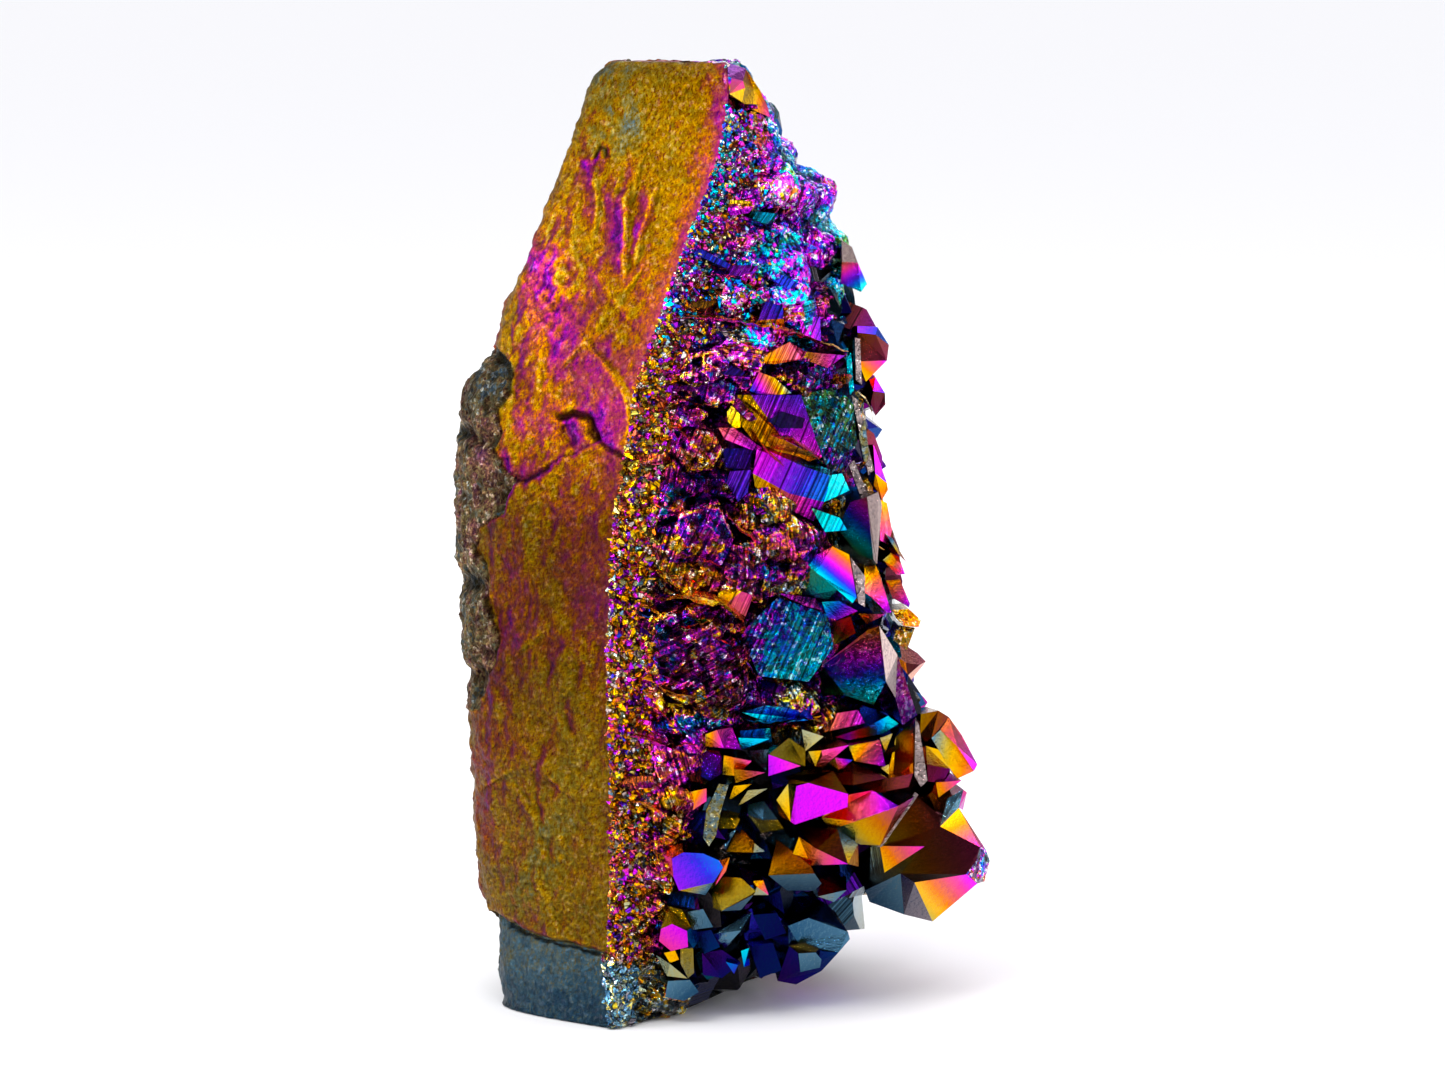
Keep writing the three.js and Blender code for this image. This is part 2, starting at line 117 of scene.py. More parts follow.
def cells(p, cell, seed=0):
    """Distance to the nearest scattered point and to the next, in cells, and the nearest's chance."""
    q = p / cell
    whole = np.floor(q)
    near = np.full(q.shape[:-1], 9.0)
    after = near.copy()
    owner = np.zeros_like(near)
    for a in (-1, 0, 1):
        for b in (-1, 0, 1):
            for c in (-1, 0, 1):
                i, j, k = (whole[..., n] + d for n, d in enumerate((a, b, c)))
                d2 = (i + chance(i, j, k, seed + 1) - q[..., 0]) ** 2
                d2 += (j + chance(i, j, k, seed + 2) - q[..., 1]) ** 2
                d2 += (k + chance(i, j, k, seed + 3) - q[..., 2]) ** 2
                d = np.sqrt(d2)
                closer = d < near
                after = np.where(closer, near, np.minimum(after, d))
                owner = np.where(closer, chance(i, j, k, seed + 4), owner)
                near = np.where(closer, d, near)
    return near, after, owner


def ease(t):
    t = np.clip(t, 0, 1)
    return t * t * (3 - 2 * t)


def blend(a, b, t):
    return a + (b - a) * t


def pick(options, share):
    return options[min(int(share * len(options)), len(options) - 1)]


def pick_all(options, shares):
    return options[np.minimum((shares * len(options)).astype(int), len(options) - 1)]


# ---- Colours of the film ------------------------------------------------------------------------

# Places on the film ramp, from the thinnest film to the thickest.
PEARL = -0.12  # hardly coated
SLATE, STEEL, SAGE, OLIVE, GOLD, BRONZE, MAUVE, PINK = 0.0, 0.06, 0.11, 0.16, 0.22, 0.30, 0.37, 0.45
MAGENTA, VIOLET, INDIGO, AZURE, CYAN, TEAL, MOSS = 0.53, 0.61, 0.68, 0.76, 0.84, 0.92, 1.0
FILM_COLOURS = {  # as shown on a screen, 0 to 255
    PEARL: (208, 184, 180),
    SLATE: (32, 72, 104),
    STEEL: (92, 136, 160),
    SAGE: (158, 160, 122),
    OLIVE: (200, 172, 56),
    GOLD: (236, 172, 8),
    BRONZE: (230, 122, 34),
    MAUVE: (214, 90, 92),
    PINK: (240, 66, 150),
    MAGENTA: (222, 40, 232),
    VIOLET: (134, 42, 220),
    INDIGO: (58, 52, 214),
    AZURE: (24, 132, 240),
    CYAN: (28, 216, 232),
    TEAL: (8, 150, 142),
    MOSS: (96, 168, 62),
}


def linear(colour):
    """Scene-linear colour of a screen colour."""
    parts = [c / 255 for c in colour]
    return tuple(c / 12.92 if c < 0.04045 else ((c + 0.055) / 1.055) ** 2.4 for c in parts) + (1.0,)


# ---- Rails: the body's upright guide lines, from the foot to the top ----------------------------

TOP = 187.6
RAILS = {
    # where the agate meets the granular quartz, the edge nearest to the eye
    "ridge": [
        (-18, -0.6, -33.5), (-18.4, 13, -33), (-17.6, 33, -33), (-18, 57, -34.5), (-18.4, 69, -35),
        (-18, 81, -35), (-17.6, 93, -35), (-17, 101, -34.5), (-15.6, 110, -34), (-14, 117, -33),
        (-12.6, 128, -31.5), (-9, 138, -29.5), (-5.6, 148, -27), (-2, 158, -24.5), (1, 165, -22.5),
        (3.2, 172, -20.5), (4.8, 178, -19), (5.6, 185, -17), (6.2, 192.6, -15),
    ],
    # the middle of the broken front
    "front": [
        (-4, 3, -19), (0, 13, -22), (2, 25, -25), (6, 45, -29), (8, 65, -31), (8, 85, -31.5),
        (8, 105, -31), (9, 125, -28), (11, 145, -24), (12, 165, -19), (10, 178, -15),
        (8.5, 187, -13), (7.4, 192.4, -11),
    ],
    # where the broken front turns into the crystal side
    "front_right": [
        (9, 9, 6), (16, 15, 0), (23, 25, -9), (29, 45, -15), (32, 65, -16), (32, 85, -16),
        (30.5, 105, -15), (28, 125, -14), (25.5, 145, -13), (20.5, 165, -11), (14, 178, -9),
        (11, 187, -8), (8.4, 192, -7),
    ],
    # the middle of the crystal side
    "right": [
        (13, 10, 16), (20, 19, 12), (30, 28, 8), (36, 47, 6), (37, 65, 6), (36, 85, 6),
        (34, 105, 6), (31, 125, 6), (28, 145, 5), (23, 165, 4), (15.5, 178, 3),
        (12, 187, 2), (9, 192, 1),
    ],
    "back_right": [
        (10, 12, 28), (22, 30, 30), (28, 50, 32), (28, 85, 32), (25, 125, 28), (20, 150, 22),
        (15, 172, 14), (7, 192, 7),
    ],
    "back": [
        (-14, 12, 36), (-14, 50, 41), (-15, 85, 42), (-14, 125, 37), (-10, 150, 29),
        (-4, 172, 18), (-4, 192, 10),
    ],
    "back_left": [
        (-33, 9, 22), (-38, 50, 27), (-41, 85, 29), (-38, 125, 25), (-29, 150, 19),
        (-20, 172, 12), (-15, 192, 8),
    ],
    # the outline of the left side
    "left": [
        (-37, 5, -3), (-39.6, 11, -3), (-39.8, 18, -3), (-41.8, 26, -2), (-44, 35, -2),
        (-44.4, 45, -1), (-44, 54, -1), (-44.2, 61, 0), (-44.8, 67, 0), (-46.4, 75, 0),
        (-47, 82, 0), (-47.6, 90, 0), (-48.2, 99, 0), (-48.8, 108, 0), (-48.4, 117, 0),
        (-47, 125, 0), (-45.6, 129, 0), (-42, 133, 0), (-39.4, 138, 0), (-36.6, 145, 0),
        (-34.2, 149, 0), (-31.2, 155, 0), (-28.2, 163, 0), (-25.2, 170, 0), (-22, 180, 0),
        (-19.8, 188, 0), (-17.6, 192.4, 0),
    ],
    # where the rind meets the agate
    "front_left": [
        (-38.4, 3, -17), (-40, 13, -15), (-40, 20, -14), (-42.4, 38, -14), (-43, 52, -15),
        (-43.4, 65, -16), (-43, 75, -17), (-42.2, 85, -18), (-42.6, 95, -18), (-42.2, 105, -18),
        (-42, 115, -18), (-41.2, 125, -17), (-38.4, 133, -16), (-36, 143, -14), (-34, 150, -13),
        (-30.6, 158, -11), (-27.4, 167, -10), (-23.4, 179, -9), (-19.2, 191.8, -8),
    ],
}
RAIL_NAMES = list(RAILS)
RAIL_COUNT = len(RAIL_NAMES)
RIDGE, FRONT, FRONT_RIGHT, SIDE, BACK_RIGHT, BACK, BACK_LEFT, LEFT, FRONT_LEFT = range(RAIL_COUNT)
RAIL_STEP = 0.5  # spacing of the heights at which the rails are tabulated
RAIL_HEIGHTS = np.arange(0, TOP + RAIL_STEP, RAIL_STEP)


def tabulated(rail):
    """x and y of a rail at every RAIL_HEIGHTS, its corners rounded a little."""
    points = np.array([from_sketch(*row) for row in rail])
    window = np.hanning(9)
    columns = []
    for n in (0, 1):
        line = np.interp(RAIL_HEIGHTS, points[:, 2], points[:, n])
        padded = np.concatenate([np.full(4, line[0]), line, np.full(4, line[-1])])
        columns.append(np.convolve(padded, window / window.sum(), mode="valid"))
    return np.stack(columns, 1)


RAIL_TABLE = np.stack([tabulated(RAILS[name]) for name in RAIL_NAMES])


def on_rails(z):
    """x and y of every rail at the heights z: an array of rails by heights by 2."""
    at = np.clip(z / RAIL_STEP, 0, len(RAIL_HEIGHTS) - 1.001)
    low = at.astype(int)
    share = (at - low)[..., None]
    return RAIL_TABLE[:, low] * (1 - share) + RAIL_TABLE[:, low + 1] * share


def body_ring(turns, z):
    """Points of the bare body. turns counts rails round to the right from the ridge.

    The ring is a smooth curve through the rails, with a corner at the ridge.
    """
    rails = on_rails(z)
    turns = np.mod(turns, RAIL_COUNT)
    k = turns.astype(int)
    t = (turns - k)[:, None, None]
    a, b, c, d = (rails[(k + n) % RAIL_COUNT] for n in (-1, 0, 1, 2))
    first, last = (k == RIDGE)[:, None, None], (k == FRONT_LEFT)[:, None, None]
    a = np.where(first, 2 * b - c, a)
    d = np.where(last, 2 * c - b, d)
    xy = 0.5 * (
        2 * b + (c - a) * t + (2 * a - 5 * b + 4 * c - d) * t**2 + (3 * b - a - 3 * c + d) * t**3
    )
    height = np.broadcast_to(z, xy.shape[:2])[..., None]
    return np.concatenate([xy, height], -1)


# ---- Relief of the agate flank, drawn on the sketch ---------------------------------------------


def line_distance(across, up, line):
    """Distance to a drawn line, and the side: positive on the left of the line as it is drawn."""
    best = np.full(np.shape(across), 1e9)
    side = np.zeros_like(best)
    for (ax, ay), (bx, by) in zip(line[:-1], line[1:]):
        dx, dy = bx - ax, by - ay
        t = np.clip(((across - ax) * dx + (up - ay) * dy) / (dx * dx + dy * dy), 0, 1)
        d = np.hypot(across - ax - t * dx, up - ay - t * dy)
        closer = d < best
        best = np.where(closer, d, best)
        side = np.where(closer, np.sign(dx * (up - ay) - dy * (across - ax)), side)
    return best, side


# Grooves: line, half width, depth.
GROOVES = [
    ([(-21, 173.4), (-20, 175.6), (-18.8, 175), (-18.4, 173.6)], 0.45, 0.5),
    ([(-28.6, 121.6), (-26, 122.2), (-22.6, 121.4), (-21, 117.6)], 0.7, 1.7),
    ([(-27.4, 119.6), (-26.6, 117.2)], 1.2, 1.6),
    ([(-21.2, 118), (-18.6, 115.4), (-15.6, 113.8)], 0.4, 0.8),
    ([(-30.4, 111.2), (-33, 109.6), (-36, 108.6), (-39.4, 110.6)], 0.5, 1.0),
    ([(-24.4, 71.4), (-25, 67), (-27.4, 64), (-26.4, 59.4)], 0.8, 0.4),
    ([(-31.8, 54.6), (-33.4, 47), (-31, 37), (-29.6, 32.6)], 0.8, 0.35),
    ([(-31, 37), (-34, 30), (-32, 24)], 0.8, 0.3),
    ([(-41.6, 22), (-39, 20), (-34, 18), (-28, 16.4), (-18.4, 13.8)], 0.6, 1.5),
]
# Ledges: line, height on its left side, how far that side runs before it has sunk again, and over
# how much it drops at the line.
LEDGES = [
    ([(-30.4, 111.4), (-33, 110), (-36, 109), (-39.4, 111), (-41.6, 114), (-42.4, 117.6)], 1.3, 9, 0.45),
    ([(-14.4, 116), (-13.8, 120), (-14.2, 125), (-15.6, 128), (-17.6, 130.6)], 0.9, 8, 0.45),
    # the dents of the upper flank
    ([(-14.4, 153), (-13.9, 158), (-13.9, 164.6)], 1.5, 2.6, 0.6),
    ([(-12, 154.4), (-10.6, 159.4), (-9, 165.4)], 1.0, 2.0, 0.5),
    ([(-12.4, 167.6), (-11.4, 171.8)], 0.6, 1.6, 0.5),
    ([(-16.6, 164.6), (-16, 168.4)], 0.4, 2.0, 0.8),
    ([(-20.6, 160), (-19.8, 165), (-20.4, 169)], 0.5, 2.4, 0.9),
    ([(-24.8, 157), (-24, 163)], 0.4, 2.4, 0.9),
    ([(-22, 151), (-19.4, 146), (-16, 142.6)], 0.5, 5, 1.6),
    ([(-24, 135), (-19, 140), (-14.4, 146.6)], 0.7, 5, 1.8),
    ([(-31.6, 131), (-31, 138), (-33, 144)], 0.6, 5, 1.8),
    ([(-34, 76), (-30, 79), (-27, 76), (-29, 72)], 0.4, 5, 1.5),
    ([(-38, 50), (-34, 52), (-30, 49)], 0.5, 6, 1.5),
    ([(-29, 22), (-32, 30), (-30, 38), (-34, 44)], 0.5, 6, 1.2),
    ([(-18.4, 14), (-28, 16.6), (-34, 18.2), (-39, 20.2), (-42, 22.4)], -1.5, 14, 0.45),
]
# Cracks are painted dark inside: painted shade.
CRACK = 0.75  # grooves narrower than this are dark cracks
# Along this line the agate gets a yellow film and a painted highlight.
RIM_HIGHLIGHT_LINE = [(-14.2, 117.6), (-13.6, 120), (-14, 125), (-15.4, 128), (-17, 130.2)]  # beside the ridge
# Faint growth rings: their centre, first and last radius, and spacing.
RINGS = [(-18.5, 185, 6, 15, 1.3), (-38, 8, 14, 24, 1.0)]
RING_HEIGHT = 0.05


def growth_rings(across, up):
    rings = np.zeros(across.shape)
    for cx, cy, first, last, spacing in RINGS:
        radius = np.hypot(across - cx, up - cy)
        shown = ease((radius - first) / 2) * ease((last - radius) / 2)
        rings += shown * np.sin(2 * np.pi * radius / spacing)
    return RING_HEIGHT * rings


def agate_relief(p, across, up):
    """Relief of the agate, and how much painted shade its cracks get, from 0 to 1."""
    relief = 0.6 * swell(p, 14, 3) + 0.26 * rough(p, 5, 2, 5) + 0.17 * rough(p, 1.3, 2, 8)
    relief += growth_rings(across, up)
    across = across + 0.35 * swell(p, 2.2, 31)
    up = up + 0.35 * swell(p, 2.2, 32)
    crack_shade = np.zeros(relief.shape)
    for line, half_width, depth in GROOVES:
        distance, _ = line_distance(across, up, line)
        trough = np.exp(-((distance / half_width) ** 2))
        relief -= depth * trough
        if half_width < CRACK:
            crack_shade = np.maximum(crack_shade, trough)
    for line, height, run, drop in LEDGES:
        distance, side = line_distance(across, up, line)
        raised = ease(0.5 + side * distance / drop)
        relief += height * raised * np.exp(-((distance / run) ** 2))
    hackly = 0.12 + 0.22 * ease((-20 - across) / 10) * ease((up - 90) / 20)
    return relief + np.maximum(hackly, 0.9 * lumpy_patch(across, up)) * rough(p, 2.6, 3, 12), crack_shade


def lumpy_patch(across, up):
    """1 in the middle of the lumpy magenta patch on the left of the upper flank."""
    return np.exp(-(((across + 30) / 6.5) ** 2) - ((up - 145) / 11) ** 2)


# Blotches on the agate flank: across, up, half width, half height, film, strength.
BLOTCHES = [
    (-17, 185, 7, 8, SAGE, 0.6),
    (-18.6, 190.4, 6, 2.6, 0.09, 0.9),
    (-19, 183, 1.4, 2.2, 0.08, 0.8),
    (-13.8, 180, 1.8, 4.4, 0.08, 0.85),
    (-20, 176, 5, 3, SAGE, 0.7),
    (-9, 190, 7, 2.4, OLIVE, 0.5),
    (-25, 163, 6, 9, MAUVE, 0.15),
    (-15.6, 158.6, 1.5, 6.4, 0.49, 0.9),
    (-11.4, 160, 1.1, 5, PINK, 0.85),
    (-21, 172, 1.4, 2.6, MAGENTA, 0.8),
    (-19, 157, 3, 9, 0.3, 0.6),
    (-16, 150, 4.4, 3.6, MAUVE, 0.6),
    (-32.6, 149, 3.2, 9, MAGENTA, 0.9),
    (-29, 143, 6, 9, PINK, 0.8),
    (-24, 152, 3, 6, OLIVE, 0.8),
    (-20, 141, 3.4, 9, GOLD, 0.7),
    (-26, 133, 8, 6.5, PINK, 0.75),
    (-17, 130, 6, 6, PINK, 0.6),
    (-28, 120, 11, 5, PINK, 0.75),
    (-18, 119, 4, 7, 0.47, 0.95),
    (-36, 129, 4, 6, 0.25, 0.85),
    (-12, 145, 3.6, 9, MAUVE, 0.45),
    (-33.6, 114, 5.6, 4, GOLD, 0.55),
    (-37, 111, 5, 3.4, MAGENTA, 0.65),
    (-25, 104, 11, 7, 0.335, 0.8),
    (-22, 92, 7, 14, MAUVE, 0.75),
    (-34, 92, 4.5, 14, GOLD, 0.5),
    (-20, 74, 5, 9, MAUVE, 0.6),
    (-30, 79, 6, 4, BRONZE, 0.7),
    (-26, 66, 5, 5, OLIVE, 0.55),
    (-39, 86, 6, 17, 0.33, 0.8),
    (-22, 100, 5, 34, 0.33, 0.6),
    (-30, 40, 16, 26, 0.205, 0.75),
    (-42, 68, 3, 14, PINK, 0.5),
    (-37, 56, 7, 6, 0.3, 0.55),
    (-26, 45, 4, 12, OLIVE, 0.8),
    (-31, 36, 5, 9, SAGE, 0.7),
    (-34, 27, 5, 5, SAGE, 0.6),
    (-24, 22, 7, 5, OLIVE, 0.6),
    (-43, 45, 1.6, 12, PINK, 0.6),
]
# How much of the film's light the agate keeps, by height on the sketch.
AGATE_SHADE = (
    (0, 30, 50, 70, 100, 108, 116, 122, 130, 140, 152, 165, 190),
    (0.12, 0.13, 0.13, 0.09, 0.1, 0.15, 0.25, 0.29, 0.23, 0.22, 0.25, 0.28, 0.19),
)
BLOTCH_WANDER = 2.2  # how far the edge of a blotch strays
RIDGE_BAND = 3.6  # width of the mauve band along the ridge
FOOT_LINE = [(-44, 23.5), (-39, 20), (-34, 18), (-28, 16.4), (-18.4, 13.8), (-10, 13), (10, 10)]


def blotched(p, across, up, start):
    """The start film with every blotch laid over it."""
    x = across + BLOTCH_WANDER * rough(p, 5, 3, 41)
    y = up + BLOTCH_WANDER * rough(p, 5, 3, 47)
    film = np.full(np.shape(x), start)
    for cx, cy, half_width, half_height, value, strength in BLOTCHES:
        reach = ((x - cx) / half_width) ** 2 + ((y - cy) / half_height) ** 2
        film = blend(film, value, strength * np.exp(-(reach**1.5)))
    return film


def below_foot_line(across, up):
    """1 on the bare foot, 0 on the coated body above it."""
    distance, side = line_distance(across, up, FOOT_LINE)
    return ease(0.5 - side * distance / 0.9)


# ---- Broken quartz: stubs and shards of broken columns ------------------------------------------

# A stub on the sketch: across, up, heading (degrees), length, width, height above the body, film
# at its start, film at its end, glitter (0 a clean face, 1 sugary) and shade (how much of the
# film's light it keeps).
STUBS = [
    # top: cyan and violet blocks above the crystal side
    (21.8, 165, -10, 9, 6, 3.2, MAGENTA, MAUVE, 0.7, 0.8),
    (17, 170.6, -15, 7.4, 3.6, 3.0, AZURE, CYAN, 0.9, 1.0),
    (14, 168, 20, 6, 6, 2.2, MAGENTA, PINK, 0.8, 0.7),
    (8.6, 166.6, 10, 4, 4.4, 1.4, SAGE, OLIVE, 0.5, 0.3),
    (7, 179, 70, 8, 5, 1.6, MAGENTA, PINK, 1.0, 1.0),
    (14.6, 154, 15, 11, 8, 3.0, CYAN, AZURE, 0.9, 1.0),
    (25.6, 158.6, -5, 7.6, 7, 3.4, TEAL, INDIGO, 0.1, 0.45),
    (25, 151.4, 12, 10, 6, 3.4, PINK, AZURE, 0.35, 0.9),
    (11, 148.4, -20, 9, 4, 0.6, VIOLET, INDIGO, 0.1, 0.15),
    (17, 147, 25, 8, 4, 3.0, AZURE, CYAN, 0.8, 1.0),
    # upper middle
    (7, 146.6, -10, 7.6, 5.2, 3.0, MAGENTA, PINK, 1.0, 0.9),
    (9, 142.6, 0, 5, 2.8, 1.2, MAUVE, PINK, 0.2, 0.2),
    (18.2, 143.4, -85, 6, 2.8, 2.2, BRONZE, MAUVE, 0.3, 0.4),
    (24.4, 142.2, -70, 12, 11, 3.2, TEAL, CYAN, 0.2, 0.12),
    (11, 138.4, -15, 7, 4.8, 2.6, MAGENTA, VIOLET, 1.0, 0.8),
    (0.8, 138.4, 0, 7.4, 4, 1.4, INDIGO, VIOLET, 0.6, 0.3),
    (27.4, 131.8, 0, 5.4, 2.8, 3.0, VIOLET, MAGENTA, 0.1, 0.9),
    (20, 129.8, -10, 8.8, 6, 2.0, VIOLET, AZURE, 1.0, 0.3),
    (9, 135, 80, 12.4, 4, 2.8, MAGENTA, PINK, 0.9, 1.0),
    (0.8, 131.4, -5, 7.4, 5, 3.0, VIOLET, MAGENTA, 0.9, 0.6),
    (2.8, 126.8, -10, 6.6, 4.6, 2.6, VIOLET, INDIGO, 0.2, 0.3),
    # the middle
    (26, 119, -76, 17, 10, 2.6, TEAL, INDIGO, 0.2, 0.12),
    (12.6, 102.6, 0, 8.8, 8.2, 1.6, BRONZE, GOLD, 1.0, 0.7),
    (25.8, 98.8, 10, 6.4, 4.0, 3.4, VIOLET, INDIGO, 0.0, 0.25),
    (17.2, 96.4, 5, 10.6, 6.8, 4.4, PINK, VIOLET, 0.5, 0.4),
    # left of the middle: rough dark roots of the columns
    (-8, 105.6, -25, 8.6, 5.4, 2.8, INDIGO, AZURE, 0.6, 0.5),
    (-6, 109.4, -10, 6.6, 4.2, 2.4, MAUVE, VIOLET, 0.6, 0.4),
    (-1, 115, -20, 8, 5.6, 2.8, MAGENTA, BRONZE, 0.5, 0.7),
    (-9, 118, -30, 8, 5, 2.4, VIOLET, INDIGO, 0.6, 0.5),
    (-3.6, 122, -20, 7, 4, 2.6, INDIGO, MAGENTA, 0.6, 0.6),
    (0, 98, -25, 10, 9.4, 3.8, VIOLET, VIOLET, 0.4, 0.35),
    (-6, 94, -20, 9, 5, 2.8, VIOLET, MAUVE, 0.4, 0.4),
    (10.4, 91.6, -5, 10.4, 10.4, 3.6, MAUVE, VIOLET, 0.8, 0.4),
    (16.2, 91, -20, 7.4, 8, 3.4, INDIGO, AZURE, 0.8, 0.4),
    (-1.4, 90.2, -15, 12, 5, 3.0, BRONZE, MAUVE, 0.3, 0.45),
    # the rough dome and what lies under it
    (-0.4, 74, -60, 20, 17, 4.2, VIOLET, 0.5, 0.8, 0.2),
    (11.4, 66, 0, 6.4, 6.4, 0.8, INDIGO, VIOLET, 0.2, 0.12),
    (18.4, 65.4, 5, 5.6, 2, 3.6, GOLD, OLIVE, 0.9, 1.3),
    (28, 60.6, 10, 11.4, 4.4, 4.2, GOLD, MAGENTA, 0.3, 0.8),
    (-3.2, 61.4, 30, 5, 4, 3.0, AZURE, CYAN, 0.4, 0.7),
    (-1, 57.6, 40, 5.4, 4, 3.4, VIOLET, MAGENTA, 0.1, 0.8),
    (3, 62, 0, 7, 3, 2.4, INDIGO, AZURE, 0.8, 0.5),
    # gold and magenta folds beside the granular band
    (-10.6, 75, -50, 5, 3, 3.0, GOLD, GOLD, 0.2, 1.0),
    (-9, 71.6, -48, 7, 2, 3.2, GOLD, OLIVE, 0.1, 1.1),
    (-10, 67, -58, 7, 2.6, 3.0, GOLD, PINK, 0.3, 0.9),
    (-8, 52, 15, 15, 4, 3.6, MAGENTA, PINK, 0.5, 0.8),
    (-10, 47.8, -12, 13, 4, 3.2, PINK, VIOLET, 0.5, 0.7),
    (-6, 46.4, 20, 6, 2.6, 3.6, GOLD, PINK, 0.0, 1.0),
    (-11, 40, 0, 11, 9, 3.0, MAGENTA, MAUVE, 1.0, 0.7),
    (-6.4, 40.4, 60, 6.6, 2.4, 3.6, GOLD, GOLD, 0.1, 1.0),
    (-12.6, 27, 80, 15, 8, 2.6, PINK, MAUVE, 1.0, 0.7),
    (-9, 33, 20, 6, 4, 3.2, PINK, BRONZE, 0.4, 0.8),
    (-13, 8, 80, 12, 9, 1.8, STEEL, SAGE, 1.0, 1.0),
    (-6, 6, 0, 7, 5, 2.2, STEEL, SLATE, 0.6, 0.8),
]
VALLEY = -1.0  # height of the body between the stubs
# Mounds on the top right edge: across, up, half width, half height, how far they bulge, and film.
TOP_MOUNDS = [(23, 165.6, 4.6, 3.8, 4.8, MAGENTA), (26.4, 156, 4, 5, 3.2, TEAL)]
CHIPS = 1700  # splinters on the broken front
CHIP_SEED = 17
FIRST_CHIP = 4000  # number of the first splinter; the stubs have the numbers below
FAR_EDGE = ((50, 84, 96, 112, 126, 138, 150), (38, 31, 31.5, 30, 29.5, 29.5, 40))  # up, across
BARE_FILMS = np.array([PEARL, SAGE, SLATE, BRONZE, PEARL, SAGE, MAUVE, STEEL])
TOP_FILMS = [MAGENTA, CYAN, PEARL, VIOLET, SAGE, AZURE, PINK, CYAN, INDIGO, PEARL]
TOP_CHIP_FILMS = [MAGENTA, CYAN, MAGENTA, VIOLET, AZURE, PINK, CYAN, INDIGO]
CHIP_FILMS = [
    GOLD, GOLD, BRONZE, PINK, MAGENTA, 0.57, VIOLET, INDIGO, INDIGO, AZURE, VIOLET, SAGE, OLIVE, PINK,
]


def growth_heading(z):
    """The columns grew away from the rind, sinking in the lower half of the wall."""
    return -8 - 20 * np.exp(-(((z - 108) / 22) ** 2)) + 12 * ease((z - 140) / 30)


class Envelope:
    """The upper surface of many low stubs, over points with two coordinates in millimetres."""

    def __init__(self, shape, valley):
        self.height = np.full(shape, valley)
        self.film = np.full(shape, VIOLET)
        self.glitter = np.full(shape, 0.6)
        self.shade = np.full(shape, 0.2)
        self.along = np.zeros(shape)

    def add(self, x, y, stub, n):
        cx, cy, heading, length, width, height, start, end, glitter, shade = stub
        reach = 0.75 * max(length, width) + 1
        near = (np.abs(x - cx) < reach) & (np.abs(y - cy) < reach)
        if not near.any():
            return
        dx, dy = x[near] - cx, y[near] - cy
        h = math.radians(heading)
        a = dx * math.cos(h) + dy * math.sin(h)
        b = -dx * math.sin(h) + dy * math.cos(h)
        top = height + 0.3 * (chance(n, 1) - 0.5) * a + 0.6 * (chance(n, 2) - 0.5) * b
        facet = np.zeros(top.shape)
        for side in range(6):
            turn = (side + 0.5 * (chance(n, side, 1) - 0.5)) * math.pi / 3
            across = a * math.cos(turn) + b * math.sin(turn)
            half = 0.5 * math.hypot(length * math.cos(turn), width * math.sin(turn))
            steep = height + (0.9 + 2.4 * chance(n, side, 2)) * (half - across)
            bevel = height + (0.25 + 0.3 * chance(n, side, 3)) * (0.55 * half - across)
            for number, plane in ((1 + side, steep), (7 + side, bevel)):
                facet = np.where(plane < top, number, facet)
                top = np.minimum(plane, top)
        higher = top > self.height[near]
        index = np.flatnonzero(near.ravel())[higher]
        share = np.clip(a[higher] / length + 0.5, 0, 1)
        facet = facet[higher]
        self.height.ravel()[index] = top[higher]
        self.film.ravel()[index] = blend(start, end, share) + 0.16 * (chance(n, facet, 4) - 0.5)
        self.glitter.ravel()[index] = glitter
        self.shade.ravel()[index] = shade * (0.4 + 1.2 * chance(n, facet, 5))
        self.along.ravel()[index] = a[higher] + 40 * chance(n, 9)


def chips_over(across, up):
    """Small splinters all over the broken front."""
    chips = Envelope(across.shape, -0.3)
    for n in range(CHIPS):
        luck = lucks(n, 9, CHIP_SEED)
        x, y = blend(-20, 40, luck[0]), blend(0, 190, luck[1])
        length = 2.0 + 5.5 * luck[2] ** 2.5
        width = length * (0.3 + 0.45 * luck[3])
        heading = growth_heading(y) + 80 * (luck[4] - 0.5)
        height = (0.25 + 0.3 * luck[5]) * width + 0.3
        film = pick(TOP_CHIP_FILMS if y > 142 else CHIP_FILMS, luck[6])
        shade = 0.25 + 1.6 * luck[8] ** 2
        stub = (x, y, heading, length, width, height, film, film + 0.12 * (luck[7] - 0.5), 0.4, shade)
        chips.add(across, up, stub, FIRST_CHIP + n)
    return chips


def smoothed(height, passes):
    """The heights, each averaged with its four neighbours as often as passes says."""
    for _ in range(passes):
        wide = np.pad(height, 1, mode="edge")
        height = (wide[2:, 1:-1] + wide[:-2, 1:-1] + wide[1:-1, 2:] + wide[1:-1, :-2] + height) / 5
    return height


# ---- The body's surface -------------------------------------------------------------------------

# Edge between rind and agate on the sketch, from the foot of the rind to its head.
RIND_EDGE = [
    (-44.2, 65), (-43, 69), (-41.6, 73), (-40.6, 77), (-43, 85), (-43.2, 92), (-45.4, 95),
    (-44, 99.4), (-39.4, 102.4), (-38.2, 106), (-37, 109.4), (-40, 111.6), (-41.6, 115), (-40.6, 119),
    (-40.4, 123.4), (-39, 125.6), (-38.2, 129.4), (-38.6, 132.6), (-40.6, 134.6), (-43, 137),
]
RIND_NOTCHES = [(130.6, 1.6), (114.4, 1.5), (102.4, 0.8), (84.4, 1.5), (67, 1.2)]  # height, depth
END_ROWS = 14  # rows of a stretch that close its top, and its foot
END_ROUNDING = 1.6  # how far the top edge is rounded down
ROUNDED_IN = 0.16  # how far it is rounded towards the middle of the top, as a share of the way
MOST_TURNS_DRAWN = 2.5  # a stretch that starts with the drawn stubs ends before this turn


